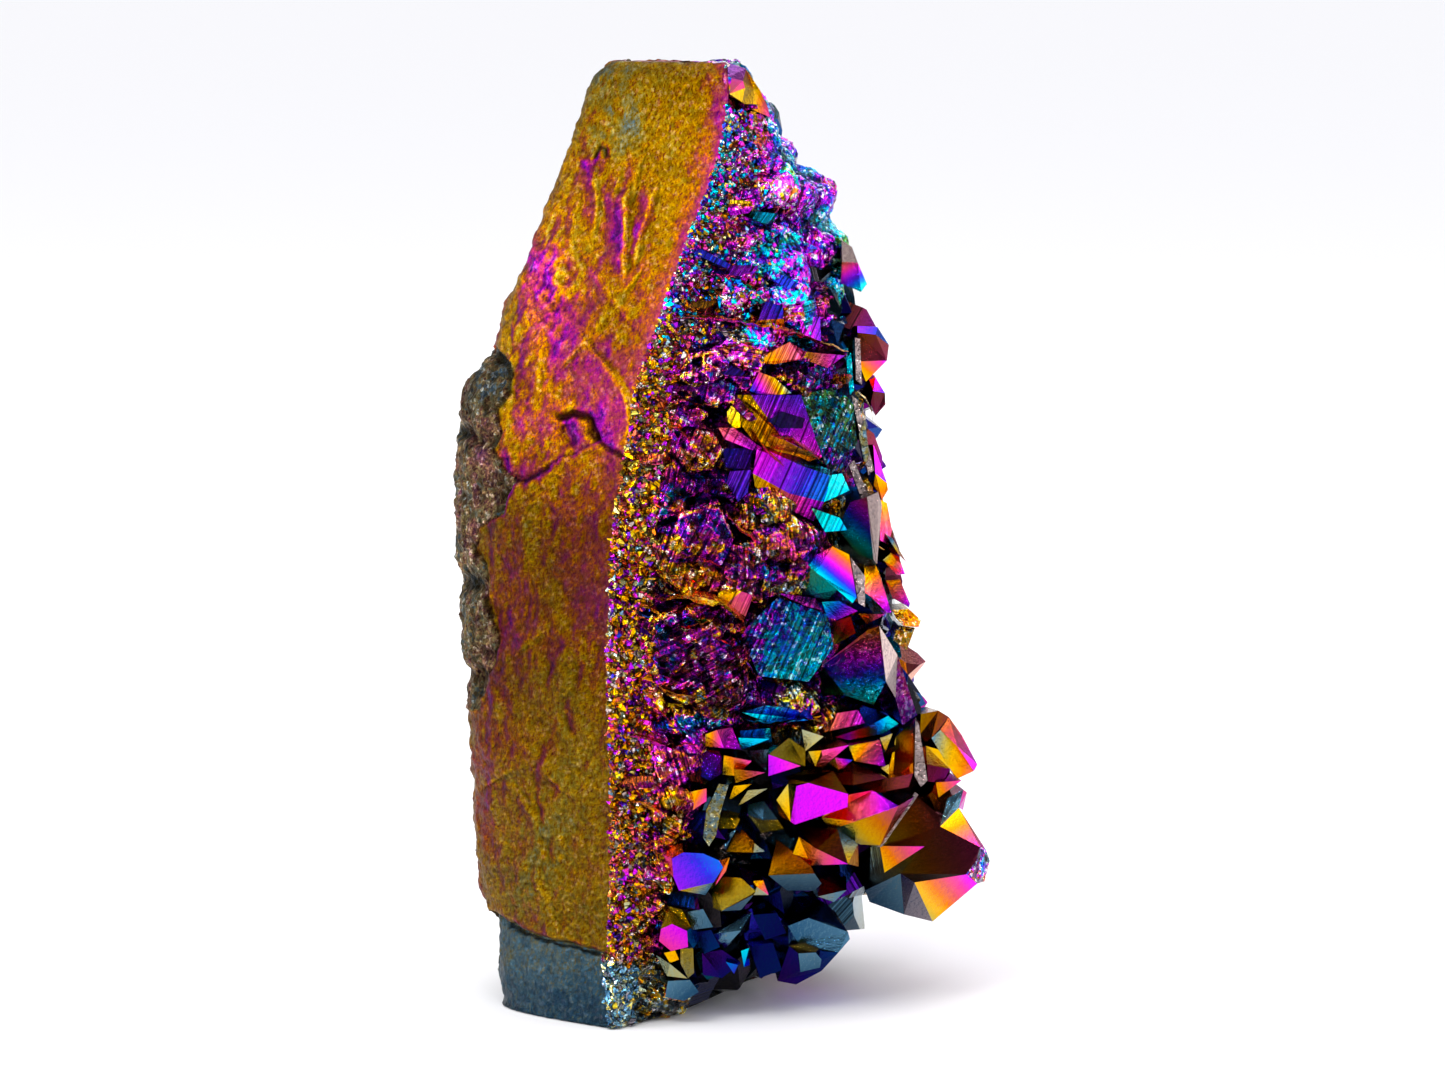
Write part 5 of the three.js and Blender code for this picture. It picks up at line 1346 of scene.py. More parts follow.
# Faces in the broken front, in the same form.
FRONT_FACES = [
    # the striated prism with its cyan end
    (None, dict(a=(11.4, 115.1, 3), b=(20.2, 111.9, 6), c=(25.9, 109.9, 7.5), d=(25.6, 107.2, 7),
                e=(24.8, 104.6, 5), f=(17.9, 106.3, 3.5), g=(10.6, 110.3, 1.5), h=(28.4, 110.3, 7),
                i=(29.9, 106.9, 6.5), j=(27.5, 105.4, 5), k=(22.7, 100.8, 2), l=(16.4, 103.8, 1.5),
                m=(11, 107.7, 0.5), n=(11.2, 116, 2.5), o=(20, 113.6, 4), p=(26, 111, 5)),
     [("abcdefg", "ad", 0.5, 0.74, 0.62), ("nopcba", "np", 0.42, 0.84, 1.05),
      ("chijed", "ci", 0.85, 0.82, 1.1), ("gfeklm", "ge", 0.16, 0.6, 0.45)]),
    # the gold wall, the violet face over it, and the hollow in that: a face painted near black as its shade
    (None, dict(a=(7.5, 126, 2), b=(10.2, 126, 3), c=(13.7, 121.2, 5), d=(16.7, 117.1, 5.5),
                e=(24, 113.4, 5), f=(20.2, 112.3, 4), g=(14.4, 115.3, 3), h=(10.6, 116.9, 2.5),
                i=(8.3, 119.9, 2), j=(20.2, 126, 3.5), k=(24.4, 113.6, 5.5)),
     [("abcdefghi", "ae", 0.2, 0.29, 0.5), ("bjkedc", "jd", 0.66, 0.5, 0.5)]),
    (None, dict(a=(13.4, 120.8, 6), b=(16.5, 122.7, 5.2), c=(21, 121.3, 5.6), d=(20.5, 119.3, 5.8),
                e=(16, 119.4, 6)),
     [("abcde", "ac", INDIGO, 0.6, 0.04)]),
    (None, dict(a=(11.8, 130.6, 4), b=(14.8, 129.5, 4), c=(18.3, 126.4, 4), d=(12.9, 125.7, 2),
                e=(9.9, 126.8, 2)),
     [("abcde", "be", 0.2, 0.74, 0.8)]),
    # yellow blob and the pink streak under it
    (None, dict(a=(5.4, 122.6, 2.5), b=(6.4, 123.9, 3), c=(7.9, 122.2, 4), d=(8.1, 119.5, 4),
                e=(6.8, 119.3, 3), f=(5.6, 120.7, 2.5)),
     [("abcdef", "ad", 0.17, 0.22, 1.25)]),
    (None, dict(a=(3.7, 119.5, 3), b=(6.8, 119.4, 4.5), c=(12.5, 115.3, 5), d=(10.6, 114.9, 3),
                e=(4.9, 117.2, 2)),
     [("abcde", "bd", 0.4, 0.54, 1.15)]),
    # dark teal block, in three faces
    (None, dict(a=(20.2, 126, 3), b=(27.1, 127.6, 3), c=(30.6, 124.5, 1), d=(31.4, 116.5, 1),
                e=(29, 110.7, 2), f=(25.9, 110.3, 4), g=(23.2, 116.9, 5), h=(27.4, 121, 5)),
     [("abhg", "ag", 0.97, 0.88, 0.16, 0.8), ("bcdh", "bd", 0.93, 0.98, 0.14, 0.8),
      ("hdefg", "he", 0.94, 0.68, 0.12, 0.8)]),
    # violet flats
    (None, dict(a=(4.5, 115.3, 2), b=(10.6, 115.3, 3), c=(9.9, 111.1, 3.5), d=(5.3, 111.5, 3)),
     [("abcd", "ac", 0.68, 0.62, 0.16)]),
    (None, dict(a=(6, 110.7, 3.5), b=(10.2, 111, 3.5), c=(9.5, 106.5, 2), d=(7.6, 104.6, 1),
                e=(5.3, 108.4, 2)),
     [("abcde", "ac", 0.62, 0.66, 0.35)]),
    # indigo prism with its gold foot
    (None, dict(a=(12.9, 146.3, 2.5), b=(16.4, 145.6, 3), c=(16.7, 141.3, 4.5), d=(11.8, 141, 4),
                e=(17.1, 138.9, 2), f=(10.6, 139.6, 2)),
     [("abcd", "bd", 0.72, 0.6, 0.45), ("dcef", "df", 0.2, 0.16, 0.5)]),
    # striated purple prism
    (None, dict(a=(19.8, 141.3, 3), b=(24, 141.7, 4), c=(24.2, 136.8, 4), d=(20.6, 137.9, 4)),
     [("abcd", "ab", 0.5, 0.62, 0.7)]),
    # gold to violet ledge
    (None, dict(a=(10.6, 132.5, 1), b=(14.4, 134.8, 3), c=(17.9, 136.6, 4), d=(21.3, 134.6, 5),
                e=(29, 133.9, 4), f=(25.5, 131.4, 2.5), g=(20.6, 133.2, 3), h=(15, 132.2, 2)),
     [("abcdgh", "ad", 0.18, 0.44, 1.05), ("defg", "de", 0.24, 0.62, 0.95)]),
    # pink block over the bright rim
    (None, dict(a=(5.3, 89.3, 3), b=(8.3, 86.7, 5), c=(10.6, 85.9, 5), d=(9.1, 81.7, 4),
                e=(4.9, 84, 3.5), f=(3.5, 85.9, 3)),
     [("abef", "ae", 0.18, 0.26, 0.9), ("bcde", "be", 0.42, 0.34, 0.6)]),
    # teal pentagon
    (None, dict(a=(10.2, 80.5, 3), b=(15.6, 85.5, 3.5), c=(25.5, 82.1, 5), d=(26.7, 75.6, 5),
                e=(21.7, 68.7, 4), f=(11.8, 69.8, 3.5), g=(8.3, 77.9, 3), h=(17, 77, 6)),
     [("abhg", "gh", 0.66, 0.78, 0.15, 0.6), ("bcdh", "bd", 0.76, 0.84, 0.17, 0.5),
      ("hdef", "he", 0.8, 0.86, 0.24, 0.4), ("hfg", "gh", 0.68, 0.8, 0.15, 0.6)]),
    (None, dict(a=(15.6, 86.4, 3.5), b=(23, 85.4, 4.5), c=(25.6, 82.6, 5), d=(20.6, 84, 5.5)),
     [("abcd", "ac", 0.54, 0.42, 0.7)]),
    # teal ledges under the pentagon
    (None, dict(a=(8.4, 62.5, 2.5), b=(13, 63.9, 4), c=(22, 63, 4.5), d=(22.6, 61, 3.5),
                e=(14, 60.4, 2.5)),
     [("abcde", "ba", 0.82, 0.88, 0.9)]),
    (None, dict(a=(8, 58.8, 3), b=(14, 59.4, 4), c=(14.4, 56.6, 3), d=(8.6, 56.2, 2)),
     [("abcd", "bd", 0.8, 0.74, 1)]),
    (None, dict(a=(22.6, 61.6, 2), b=(31.6, 63, 3.5), c=(33, 60.4, 4), d=(25, 58.6, 3)),
     [("abcd", "ac", 0.22, 0.54, 0.8)]),
    # olive, teal and violet ends near the rainbow face
    (None, dict(a=(22.3, 103.4, 4), b=(28, 101.4, 6), c=(29.4, 99, 6), d=(25, 98.6, 4)),
     [("abcd", "ac", 0.96, 0.76, 0.95)]),
    (None, dict(a=(12.4, 97.4, 3), b=(18.4, 99.4, 5), c=(22.4, 98, 5), d=(20.6, 95.2, 4),
                e=(14, 94.6, 3)),
     [("abcde", "be", 0.3, 0.6, 0.75)]),
]

# Thin pale sheets along the broken front edge, and the stick: corners (across, up), y, film, shade.
SLIVERS = [
    ([(43.1, 61.6), (43.8, 59.9), (45.5, 48.9), (44.2, 47.6), (42.9, 49.8)], -24.5, PEARL, 0.3),
    ([(35.4, 35.6), (43, 46.6), (43.7, 46), (36.4, 35.6)], -21.5, PEARL, 0.25),
    ([(31, 137.5), (32, 137.2), (32.4, 128), (31.2, 129)], -14, PEARL, 0.4),
    ([(29.3, 133), (30.2, 134.5), (30.8, 127), (30, 126)], -15, CYAN, 0.5),
    ([(30.3, 126), (31.5, 125), (34.8, 111), (33.7, 110)], -15, PEARL, 0.35),
    ([(31.8, 118), (33, 121), (33.8, 114), (33, 112)], -16, SAGE, 0.4),
    ([(29.8, 112), (30.8, 113), (33.6, 106), (32.4, 105)], -19, PEARL, 0.3),
    ([(30.1, 93.6), (33, 89.7), (33, 83.6), (31.7, 84.4)], -28, PEARL, 0.4),
    ([(3.8, 48.2), (5.7, 48), (4.1, 42.5), (3.2, 37.9), (1.8, 35.8), (0.6, 37.5), (1.3, 43)],
     -36, 0.12, 0.3),
]
SLIVER_THICKNESS = 1.8

# Ledges: line on the sketch, how far it stands out, width, film above the edge, below it, shade
# above and below.
RIBS = [
    ([(-6.8, 85.3), (-3.2, 86), (0.7, 85.6), (3.7, 84.8), (6.4, 82.8), (8.7, 80.9)],
     6.4, 1.5, 0.22, 0.19, 0.9, 1.3),
    ([(8.7, 80.9), (9.2, 77), (7, 73.6), (5.4, 71)], 6.0, 0.8, 0.34, 0.22, 0.9, 1.0),
    ([(-5.5, 141.3), (2, 141.6), (8.3, 140.8), (13, 139.6), (18.3, 138.7), (24.8, 136.4),
      (29.8, 134.6)], 4.6, 0.9, 0.24, 0.48, 0.8, 1.15),
    ([(14, 118), (18.3, 117.4), (21.6, 114.8), (24.4, 112.6)], 7.0, 0.7, 0.3, 0.2, 1, 1.2),
    ([(-1, 94), (4, 92), (8.6, 90.6)], 4.4, 0.8, 0.5, 0.46, 0.8, 1.1),
    ([(-10, 104.6), (-4, 103), (1, 99.6)], 3.8, 0.7, 0.26, 0.4, 0.9, 1.1),
    ([(5, 102.6), (9, 98.4), (13, 96.2)], 4.8, 0.8, 0.24, 0.44, 0.9, 1.1),
    ([(-6, 100), (-1, 98.6), (3.4, 95.2)], 4.0, 0.6, 0.5, 0.4, 0.9, 1.0),
    ([(10.6, 119), (12.6, 115.6), (16.8, 112)], 6.4, 0.5, 0.4, 0.24, 0.9, 1.1),
    ([(-12, 84), (-8, 82.4), (-6, 80)], 3.6, 0.8, 0.24, 0.2, 1, 1.2),
    ([(-11.6, 79.6), (-8, 77.6), (-6.6, 74)], 3.4, 0.7, 0.2, 0.22, 1, 1.2),
    ([(-9, 64), (-5, 60), (-3, 57)], 3.6, 0.7, 0.22, 0.42, 1, 1.1),
    ([(-14, 58), (-9, 57), (-5, 54.6), (-2, 55.4)], 4.0, 0.8, 0.26, 0.5, 0.9, 1.1),
    ([(-14, 45), (-10, 44), (-6, 41.6), (-4.4, 38)], 4.2, 0.8, 0.22, 0.24, 1, 1.2),
    ([(-12, 36.6), (-8.6, 36.8), (-5, 35.6)], 3.8, 0.7, 0.44, 0.22, 1, 1.1),
    ([(10.8, 77), (9.4, 72.4), (11.6, 69)], 5.6, 0.5, 0.5, 0.3, 0.9, 1.0),
    ([(8.6, 61), (14, 60.4), (21, 61.4), (26, 60.8)], 5.0, 0.5, 0.46, 0.1, 0.9, 1.1),
]


class Wall:
    """Depth of the body, for what is drawn on the sketch."""

    def __init__(self, surface):
        self.across, self.up = surface.across.ravel(), surface.up.ravel()
        self.points = surface.base.reshape(-1, 3)
        self.relief_points = surface.points.reshape(-1, 3)
        self.out = surface.out.reshape(-1, 3)
        self.film, self.shade = surface.film.ravel(), surface.shade.ravel()

    def nearest(self, across, up):
        return np.argmin((self.across - across) ** 2 + (self.up - up) ** 2)

    def y(self, across, up):
        return self.points[self.nearest(across, up), 1]

    def relief_y(self, across, up):
        return self.relief_points[self.nearest(across, up), 1]


def outline_of(faces):
    """Ring of the edges that belong to one face only, for faces that share corner names.

    It passes a corner more than once where parts of the outline meet.
    """
    edges = [(a, b) for face in faces for a, b in zip(face, face[1:] + face[:1])]
    left = [(a, b) for a, b in edges if (b, a) not in edges]
    path, ring = [left[0][0]], []
    while path:
        following = [edge for edge in left if edge[0] == path[-1]]
        if following:
            left.remove(following[0])
            path.append(following[0][1])
        else:
            ring.append(path.pop())
    return ring[:0:-1]


def turned_left(face, corners):
    """The face's corners in the order that makes it face the eye."""
    p = [corners[c] for c in face]
    area = sum(a[0] * b[1] - b[0] * a[1] for a, b in zip(p, p[1:] + p[:1]))
    return face if area > 0 else face[::-1]


BACK_SHRINK = 0.78  # size of a drawn crystal's hidden back, of the size of its front
BACK_DEPTH = 7.0  # how far behind the front it is, apart from what is added for the size


def add_drawn(facets, wall, base_y, corners, faces, striated=False, thickness=None, **coat):
    """A drawn crystal: its faces, walls running back into the body, and a back.

    A thickness makes it a thin sheet instead.
    """
    places = {}
    for name, (across, up, out) in corners.items():
        y = wall.y(across, up) if base_y is None else base_y
        places[name] = from_sketch(across, up, y - out)
    used = sorted({c for face in faces for c in face[0]})
    middle = np.mean([places[c] for c in used], axis=0)
    size = max(np.linalg.norm(places[c] - middle) for c in used)
    back = np.array([-0.25 * size, BACK_DEPTH + 0.9 * size, 0])
    if thickness:
        back = np.array([-0.5, thickness, 0])
    loops = []
    films = {}
    for face, (start, end), start_film, end_film, shade, *grit in faces:
        own = {**coat, "glitter": grit[0]} if grit else coat
        loop = turned_left(face, corners)
        loops.append(loop)
        flat = {c: np.array(corners[c][:2]) for c in {*loop, start, end}}
        run = flat[end] - flat[start]
        share = [((flat[c] - flat[start]) @ run) / (run @ run) for c in loop]
        film = [blend(start_film, end_film, t) for t in share]
        films.update(zip(loop, film))
        along = [striated * (0.9 * places[c][0] - 0.4 * places[c][2]) for c in loop]
        facets.add([places[c] for c in loop], film, shade=shade, along=along, **own)
    ring = outline_of(loops)
    behind = {c: middle + BACK_SHRINK * (places[c] - middle) + back for c in ring}
    for a, b in zip(ring, ring[1:] + ring[:1]):
        normal = np.cross(places[b] - places[a], back)
        # Walls that look up are painted darker than the others: painted shade.
        looks_up = normal[2] < 0
        film = [films[b], films[a], films[a] - 0.15, films[b] - 0.15]
        corners_3d = [places[b], places[a], behind[a], behind[b]]
        facets.add(corners_3d, film, shade=0.35 if looks_up else 0.8, **coat)
    facets.add([behind[c] for c in reversed(ring)], GOLD, shade=0.5, **coat)


def add_rib(facets, y_at, line, out, width, film_above, film_below, shade_above, shade_below, seed):
    """A thin broken ledge: its edge stands out, above and below it fall back to the wall."""
    rows = []
    finer = []
    for (ax, ay), (bx, by) in zip(line[:-1], line[1:]):
        steps = max(2, round(math.hypot(bx - ax, by - ay) / 1.1))
        finer += [(blend(ax, bx, k / steps), blend(ay, by, k / steps)) for k in range(steps)]
    finer.append(line[-1])
    for n, (x, y) in enumerate(finer):
        taper = math.sin(math.pi * (n + 0.6) / (len(finer) + 0.2)) ** 0.5
        half = width * (0.35 + 0.5 * chance(seed, n, 1)) * taper
        x += 0.4 * (chance(seed, n, 2) - 0.5)
        y += 0.5 * (chance(seed, n, 3) - 0.5)
        edge = out * (0.75 + 0.25 * taper) + 0.6 * (chance(seed, n, 4) - 0.5)
        depth = y_at(x, y)
        rows.append([
            from_sketch(x + 0.3 * half, y + half, depth - edge + 1.0 + half),
            from_sketch(x, y, depth - edge),
            from_sketch(x - 0.2 * half, y - half, depth - edge + 0.5 + 0.6 * half),
            from_sketch(x, y - half, depth + 1),
            from_sketch(x, y + half, depth + 1),
        ])
    for n, (a, b) in enumerate(zip(rows[:-1], rows[1:])):
        wander = 0.08 * (chance(seed, n, 5) - 0.5)
        facets.add([b[0], a[0], a[1], b[1]], film_above + wander, shade=shade_above, glitter=0.15)
        facets.add([b[1], a[1], a[2], b[2]], film_below + wander, shade=shade_below, glitter=0.1)
        facets.add([b[2], a[2], a[3], b[3]], film_below + 0.2, shade=0.3, glitter=0.4)
        facets.add([b[4], a[4], a[0], b[0]], film_above + 0.2, shade=0.3, glitter=0.4)


# ---- What is strewn by chance -------------------------------------------------------------------

# Films that shards and grains are drawn from.
SHARD_FILMS = [
    GOLD, BRONZE, PINK, MAGENTA, MAUVE, VIOLET, OLIVE, INDIGO, AZURE, CYAN, GOLD, INDIGO, SAGE,
]
GRAIN_FILMS = [GOLD, GOLD, OLIVE, OLIVE, BRONZE, MAUVE, MAGENTA, VIOLET, SAGE, PEARL]
FOOT_FILMS = [STEEL, SLATE, STEEL, 0.09, 0.03]
FOLD_FILMS = [GOLD, OLIVE, BRONZE, GOLD, PINK, MAGENTA, GOLD, AZURE, SAGE]
LIBRARY = 20  # different shapes of shard and of grain
SHARDS, FOLDS, GRAINS = 420, 130, 9000
SHARD_SEED, FOLD_SEED, GRAIN_SEED = 7, 23, 9
FIRST_FOLD = 600  # number of the first fold among the ribs
SHARD_EDGE = ((0, 25, 60, 130, 165, 186), (8, 22, 30, 30, 24, 12))  # heights, how far right shards lie


def spun(n):
    """A rotation by chance."""
    q = np.array([chance(n, k, 77) - 0.5 for k in range(4)])
    w, x, y, z = unit(q + 1e-9)
    return np.array([
        [1 - 2 * (y * y + z * z), 2 * (x * y - w * z), 2 * (x * z + w * y)],
        [2 * (x * y + w * z), 1 - 2 * (x * x + z * z), 2 * (y * z - w * x)],
        [2 * (x * z - w * y), 2 * (y * z + w * x), 1 - 2 * (x * x + y * y)],
    ])


def add_shape(facets, shape, turn, size, place, film, shade, glitter, n):
    """A shape from the library, scaled, turned and set down. Each face varies in film and shade."""
    for k, (_, corners) in enumerate(shape):
        own_film = film + 0.16 * (chance(n, k, 51) - 0.5)
        own_shade = shade * (0.35 + 0.9 * chance(n, k, 52))
        own_glitter = glitter if chance(n, k, 53) < 0.6 else 0.0
        p = (corners * size) @ turn.T + place
        along = list(corners[:, 0] * size[0] + 30 * chance(n, k, 54))
        facets.add(list(p), float(own_film), float(own_glitter), float(own_shade), 0.12, along)


def drawn_middles():
    """Middle of each drawn front face on the sketch, with its half size."""
    found = []
    for _, corners, _ in FRONT_FACES:
        flat = np.array([c[:2] for c in corners.values()])
        found.append((*flat.mean(0), 0.5 * np.ptp(flat, axis=0).mean()))
    return np.array(found)


def hides_drawn(drawn, across, up):
    """Whether something at a sketch point would lie over one of the drawn faces."""
    return (np.hypot(drawn[:, 0] - across, drawn[:, 1] - up) < 1.1 * drawn[:, 2]).any()


def sketch_axis(heading, lean):
    """Direction with a heading on the sketch and a lean towards the eye, both in degrees."""
    h, l = math.radians(heading), math.radians(lean)
    return math.cos(l) * (math.cos(h) * RIGHT + math.sin(h) * UP) + math.sin(l) * TO_EYE


def strew_shards(facets, wall, shapes):
    """Broken pieces of columns, lying the way the columns grew."""
    drawn = drawn_middles()
    for n in range(SHARDS):
        luck = lucks(n, 12, SHARD_SEED)
        across, up = blend(-16, 38, luck[1]), blend(4, 186, luck[2])
        beside = across - ridge_across(up)
        off_front = beside < 3 or across > np.interp(up, *SHARD_EDGE)
        crystals_here = up < 60 and beside > 16
        top_corner = up > 169 and across > 12
        if off_front or crystals_here or top_corner or hides_drawn(drawn, across, up):
            continue
        at = wall.nearest(across, up)
        axis = sketch_axis(growth_heading(up) + 50 * (luck[3] - 0.5), 5 + 30 * luck[4])
        turn = np.stack([axis, *square_to(axis)], 1)
        scale = 0.4 + 1.2 * luck[5] ** 3
        size = scale * np.array([1.0 + 0.9 * luck[6], 1.1, 1.0])
        place = wall.points[at] + wall.out[at] * (0.2 + 0.4 * scale + 0.8 * luck[7])
        film = blend(wall.film[at], pick(SHARD_FILMS, luck[8]), 0.75 * (luck[11] < 0.3))
        bright = blend(0.5, 1.1, ease((up - 130) / 20))
        shade = bright * (0.3 + wall.shade[at]) * (0.4 + 1.1 * luck[9] ** 2)
        add_shape(facets, pick(shapes, luck[10]), turn, size, place, film, shade, 0.5, n)


def strew_folds(facets, wall):
    """Short curved ledges with bright rims, along the broken columns."""
    drawn = drawn_middles()
    for n in range(FOLDS):
        luck = lucks(n, 10, FOLD_SEED)
        x, y = blend(-14, 32, luck[0]), blend(24, 150, luck[1])
        beside = x - ridge_across(y)
        crystals_here = y < 62 and beside > 14
        if beside < 5 or crystals_here or hides_drawn(drawn, x, y):
            continue
        heading = growth_heading(y) + 50 * (luck[2] - 0.5)
        bend = 50 * (luck[3] - 0.5)
        length = 2.5 + 6 * luck[4] ** 2
        line = [(x, y)]
        for _ in range(3):
            h = math.radians(heading)
            x, y = x + length / 3 * math.cos(h), y + length / 3 * math.sin(h)
            line.append((x, y))
            heading += bend
        add_rib(
            facets, wall.relief_y, line, 0.7 + 0.9 * luck[5], 0.35 + 0.6 * luck[6],
            pick(FOLD_FILMS, luck[7]), pick(FOLD_FILMS, luck[8]), 0.8, 0.4 + luck[9],
            seed=FIRST_FOLD + n,
        )


def strew_grains(facets, surface, shapes):
    """Sugar grains: thick along the ridge and over the top of the broken front."""
    columns, rows = surface.base.shape[:2]
    for n in range(GRAINS):
        luck = lucks(n, 11, GRAIN_SEED)
        row = END_ROWS + int(luck[1] * (rows - 2 * END_ROWS - 1))
        high = ease((surface.up[0, row] - 132) / 14)
        reach = blend(0.17, 0.6, high) * luck[2] ** blend(1.3, 2.0, high)
        column = int(reach * columns)
        up = surface.up[column, row]
        smooth_end = up > 183.5 and surface.across[column, row] > 5.5
        if smooth_end:
            continue
        scale = (0.2 + 0.4 * luck[3] ** 2) * blend(1, 0.8, high)
        bare = ease((14 - up) / 3)
        films = FOOT_FILMS if bare > luck[4] else GRAIN_FILMS
        films = TOP_FILMS if 0.8 * high > luck[10] else films
        film = pick(films, luck[5])
        bright = blend(1, blend(1.4, 2.2, bare), max(high, bare))
        shade = (0.4 + 1.3 * luck[6] ** 1.6) * bright
        lift = 0.5 + 0.7 * luck[7]
        place = surface.points[column, row] + surface.out[column, row] * lift * scale
        size = scale * np.array([1.3, 1, 0.8])
        add_shape(facets, pick(shapes, luck[8]), spun(n), size, place, film, shade, 0.0, n)


# Patches strewn with crystal points: first and last turn, heights from and to, spacing, radius and
# how far the tips stand out, and how bright the coat is.
POINT_PATCHES = [
    (2.0, 3.3, 31, 64, 8.0, 6.4, 8.5, 0.3),
    (3.3, 4.4, 14, 64, 8.0, 6.4, 8.5, 0.8),
    (1.9, 3.0, 62, 150, 7.0, 4.6, 2.2, 0.25),
    (3.0, 3.5, 62, 150, 7.5, 5.2, 4.5, 0.3),
    (3.5, 4.4, 62, 150, 8.5, 5.6, 5.0, 0.8),
    (2.6, 4.3, 150, 176, 7.0, 4.6, 1.0, 0.3),
    (0.8, 2.1, 8, 50, 6.0, 5.2, 4.0, 0.22),
]
TIP_FILMS = [MAGENTA, PINK, VIOLET, MAUVE, INDIGO, PINK, AZURE, TEAL]
DARK_FILMS = [INDIGO, 0.72, SLATE, 0.65, AZURE, INDIGO, SLATE]
ROOT_FILMS = [GOLD, OLIVE, BRONZE, GOLD]
DIM = 0.4  # points less bright than this have dark films


def point_films(bright, low_down, n):
    """Film at a point's tip and root. Dim points have one film; low down the others turn steel."""
    if bright < DIM:
        film = pick(DARK_FILMS, chance(n, 8))
        return film, film
    tip_film, root_film = pick(TIP_FILMS, chance(n, 8)), pick(ROOT_FILMS, chance(n, 9))
    return blend(tip_film, STEEL, low_down), blend(root_film, SLATE, low_down)


def add_point(facets, turn, height, radius, stands, bright, n):
    """A crystal point that stands out of the body at a turn and a height."""
    p = body_ring(np.array([turn]), np.array([height]))[0, 0]
    beside = body_ring(np.array([turn + 0.02]), np.array([height]))[0, 0]
    out = unit(np.cross(beside - p, [0, 0, 1]))
    jitter = np.array([chance(n, k) - 0.5 for k in (3, 4, 5)])
    axis = unit(out + 0.25 * np.array([0.6, 0, -0.6]) + 1.3 * jitter)
    own = radius * (0.6 + 0.7 * float(chance(n, 6)))
    narrow = blend(1.0, 0.75, ease((height - 140) / 30))
    tip = p + axis * stands * narrow * (0.7 + 0.5 * chance(n, 7))
    tip[2] = max(tip[2], 4)
    low_down = ease((30 - tip[2]) / 8)
    films = point_films(bright, low_down, n)
    spin = 2 * math.pi * chance(n, 10)
    # Points low down are painted darker: painted shade near the floor.
    shade = float(bright * blend(1.0, 0.6, low_down))
    add_crystal(facets, tip, axis, own * narrow, spin, 2.6 * own * narrow, n, *films, shade=shade)


def strew_points(facets, patch, seed):
    """Crystal points in rows over a patch, each out of line by chance."""
    first, last, low, high, step, radius, stands, bright = patch
    n = seed
    for z in np.arange(low, high, step * 0.85):
        ring = body_ring(np.linspace(first, last, 60), np.array([z]))[:, 0]
        length = np.linalg.norm(np.diff(ring, axis=0), axis=1).sum()
        in_row = max(2, round(length / step))
        for column in range(in_row):
            n += 1
            turn = blend(first, last, (column + 0.5 + 0.7 * (chance(n, 1) - 0.5)) / in_row)
            height = z + step * 0.6 * (chance(n, 2) - 0.5)
            add_point(facets, turn, height, radius, stands, bright, n)


# Crystals drawn one by one by their tips: tip across, up and y, heading on the sketch and lean
# towards the eye (degrees), radius, spin (degrees), film at the tip, film at the root and shade.
DRAWN_POINTS = [
    (55.4, 33.8, 5, 0, -12, 7.4, 10, MAGENTA, GOLD, 0.8),
    (52.4, 38.6, 5, 12, -15, 8, 0, PINK, OLIVE, 0.8),
    (51.4, 52.4, 5, -10, -15, 8.4, 15, MAGENTA, GOLD, 0.8),
    (47.4, 59.6, 4, 5, -15, 6.5, 0, PINK, GOLD, 0.8),
    (43, 46, -8, -10, 10, 8, 0, MAUVE, OLIVE, 0.2),
    (48, 48, -3, -5, 0, 9, 20, PINK, OLIVE, 0.2),
    (47, 42, -4, -15, 0, 9, 40, MAUVE, GOLD, 0.2),
    (40, 86, -2, -35, 15, 6, 0, PINK, OLIVE, 0.25),
    (39.6, 92, -2, -30, 10, 6, 20, PINK, OLIVE, 0.25),
    (38.4, 97.6, -2, -35, 10, 5, 10, MAUVE, OLIVE, 0.2),
    (37.4, 134.6, 1, -22, 10, 6.6, 10, VIOLET, GOLD, 0.2),
    (36.6, 124.4, 0, -20, 10, 5.8, 20, MAGENTA, GOLD, 0.2),
    (36.2, 112, 0, -30, 10, 5, 5, VIOLET, OLIVE, 0.3),
    (36.8, 104, 0, -15, 10, 5, 15, MAUVE, OLIVE, 0.2),
]
FULL_LENGTH = 26  # no drawn crystal is longer than this


# ---- Material -----------------------------------------------------------------------------------


class Nodes:
    """Short forms for building a node tree."""

    def __init__(self, material):
        material.use_nodes = True
        self.tree = material.node_tree
        self.shader = self.tree.nodes["Principled BSDF"]

    def add(self, kind, **inputs):
        node = self.tree.nodes.new(kind)
        for name, value in inputs.items():
            self.set(node, name, value)
        return node

    def set(self, node, name, value):
        """Link or set an input, by its name, or by its number after an underscore."""
        by_number = name[0] == "_" and name[1:].isdigit()
        socket = node.inputs[int(name[1:]) if by_number else name.replace("_", " ")]
        if isinstance(value, bpy.types.NodeSocket):
            self.tree.links.new(value, socket)
        else:
            socket.default_value = value

    def attribute(self, name):
        node = self.tree.nodes.new("ShaderNodeAttribute")
        node.attribute_name = name
        return node.outputs["Fac"]

    def math(self, operation, a, b=0.0, c=0.0):
        node = self.tree.nodes.new("ShaderNodeMath")
        node.operation = operation
        for n, value in enumerate((a, b, c)):
            self.set(node, f"_{n}", value)
        return node.outputs[0]

    def vector(self, operation, a, b=None, scale=None):
        node = self.tree.nodes.new("ShaderNodeVectorMath")
        node.operation = operation
        self.set(node, "_0", a)
        if b is not None:
            self.set(node, "_1", b)
        if scale is not None:
            self.set(node, "Scale", scale)
        return node.outputs[0]


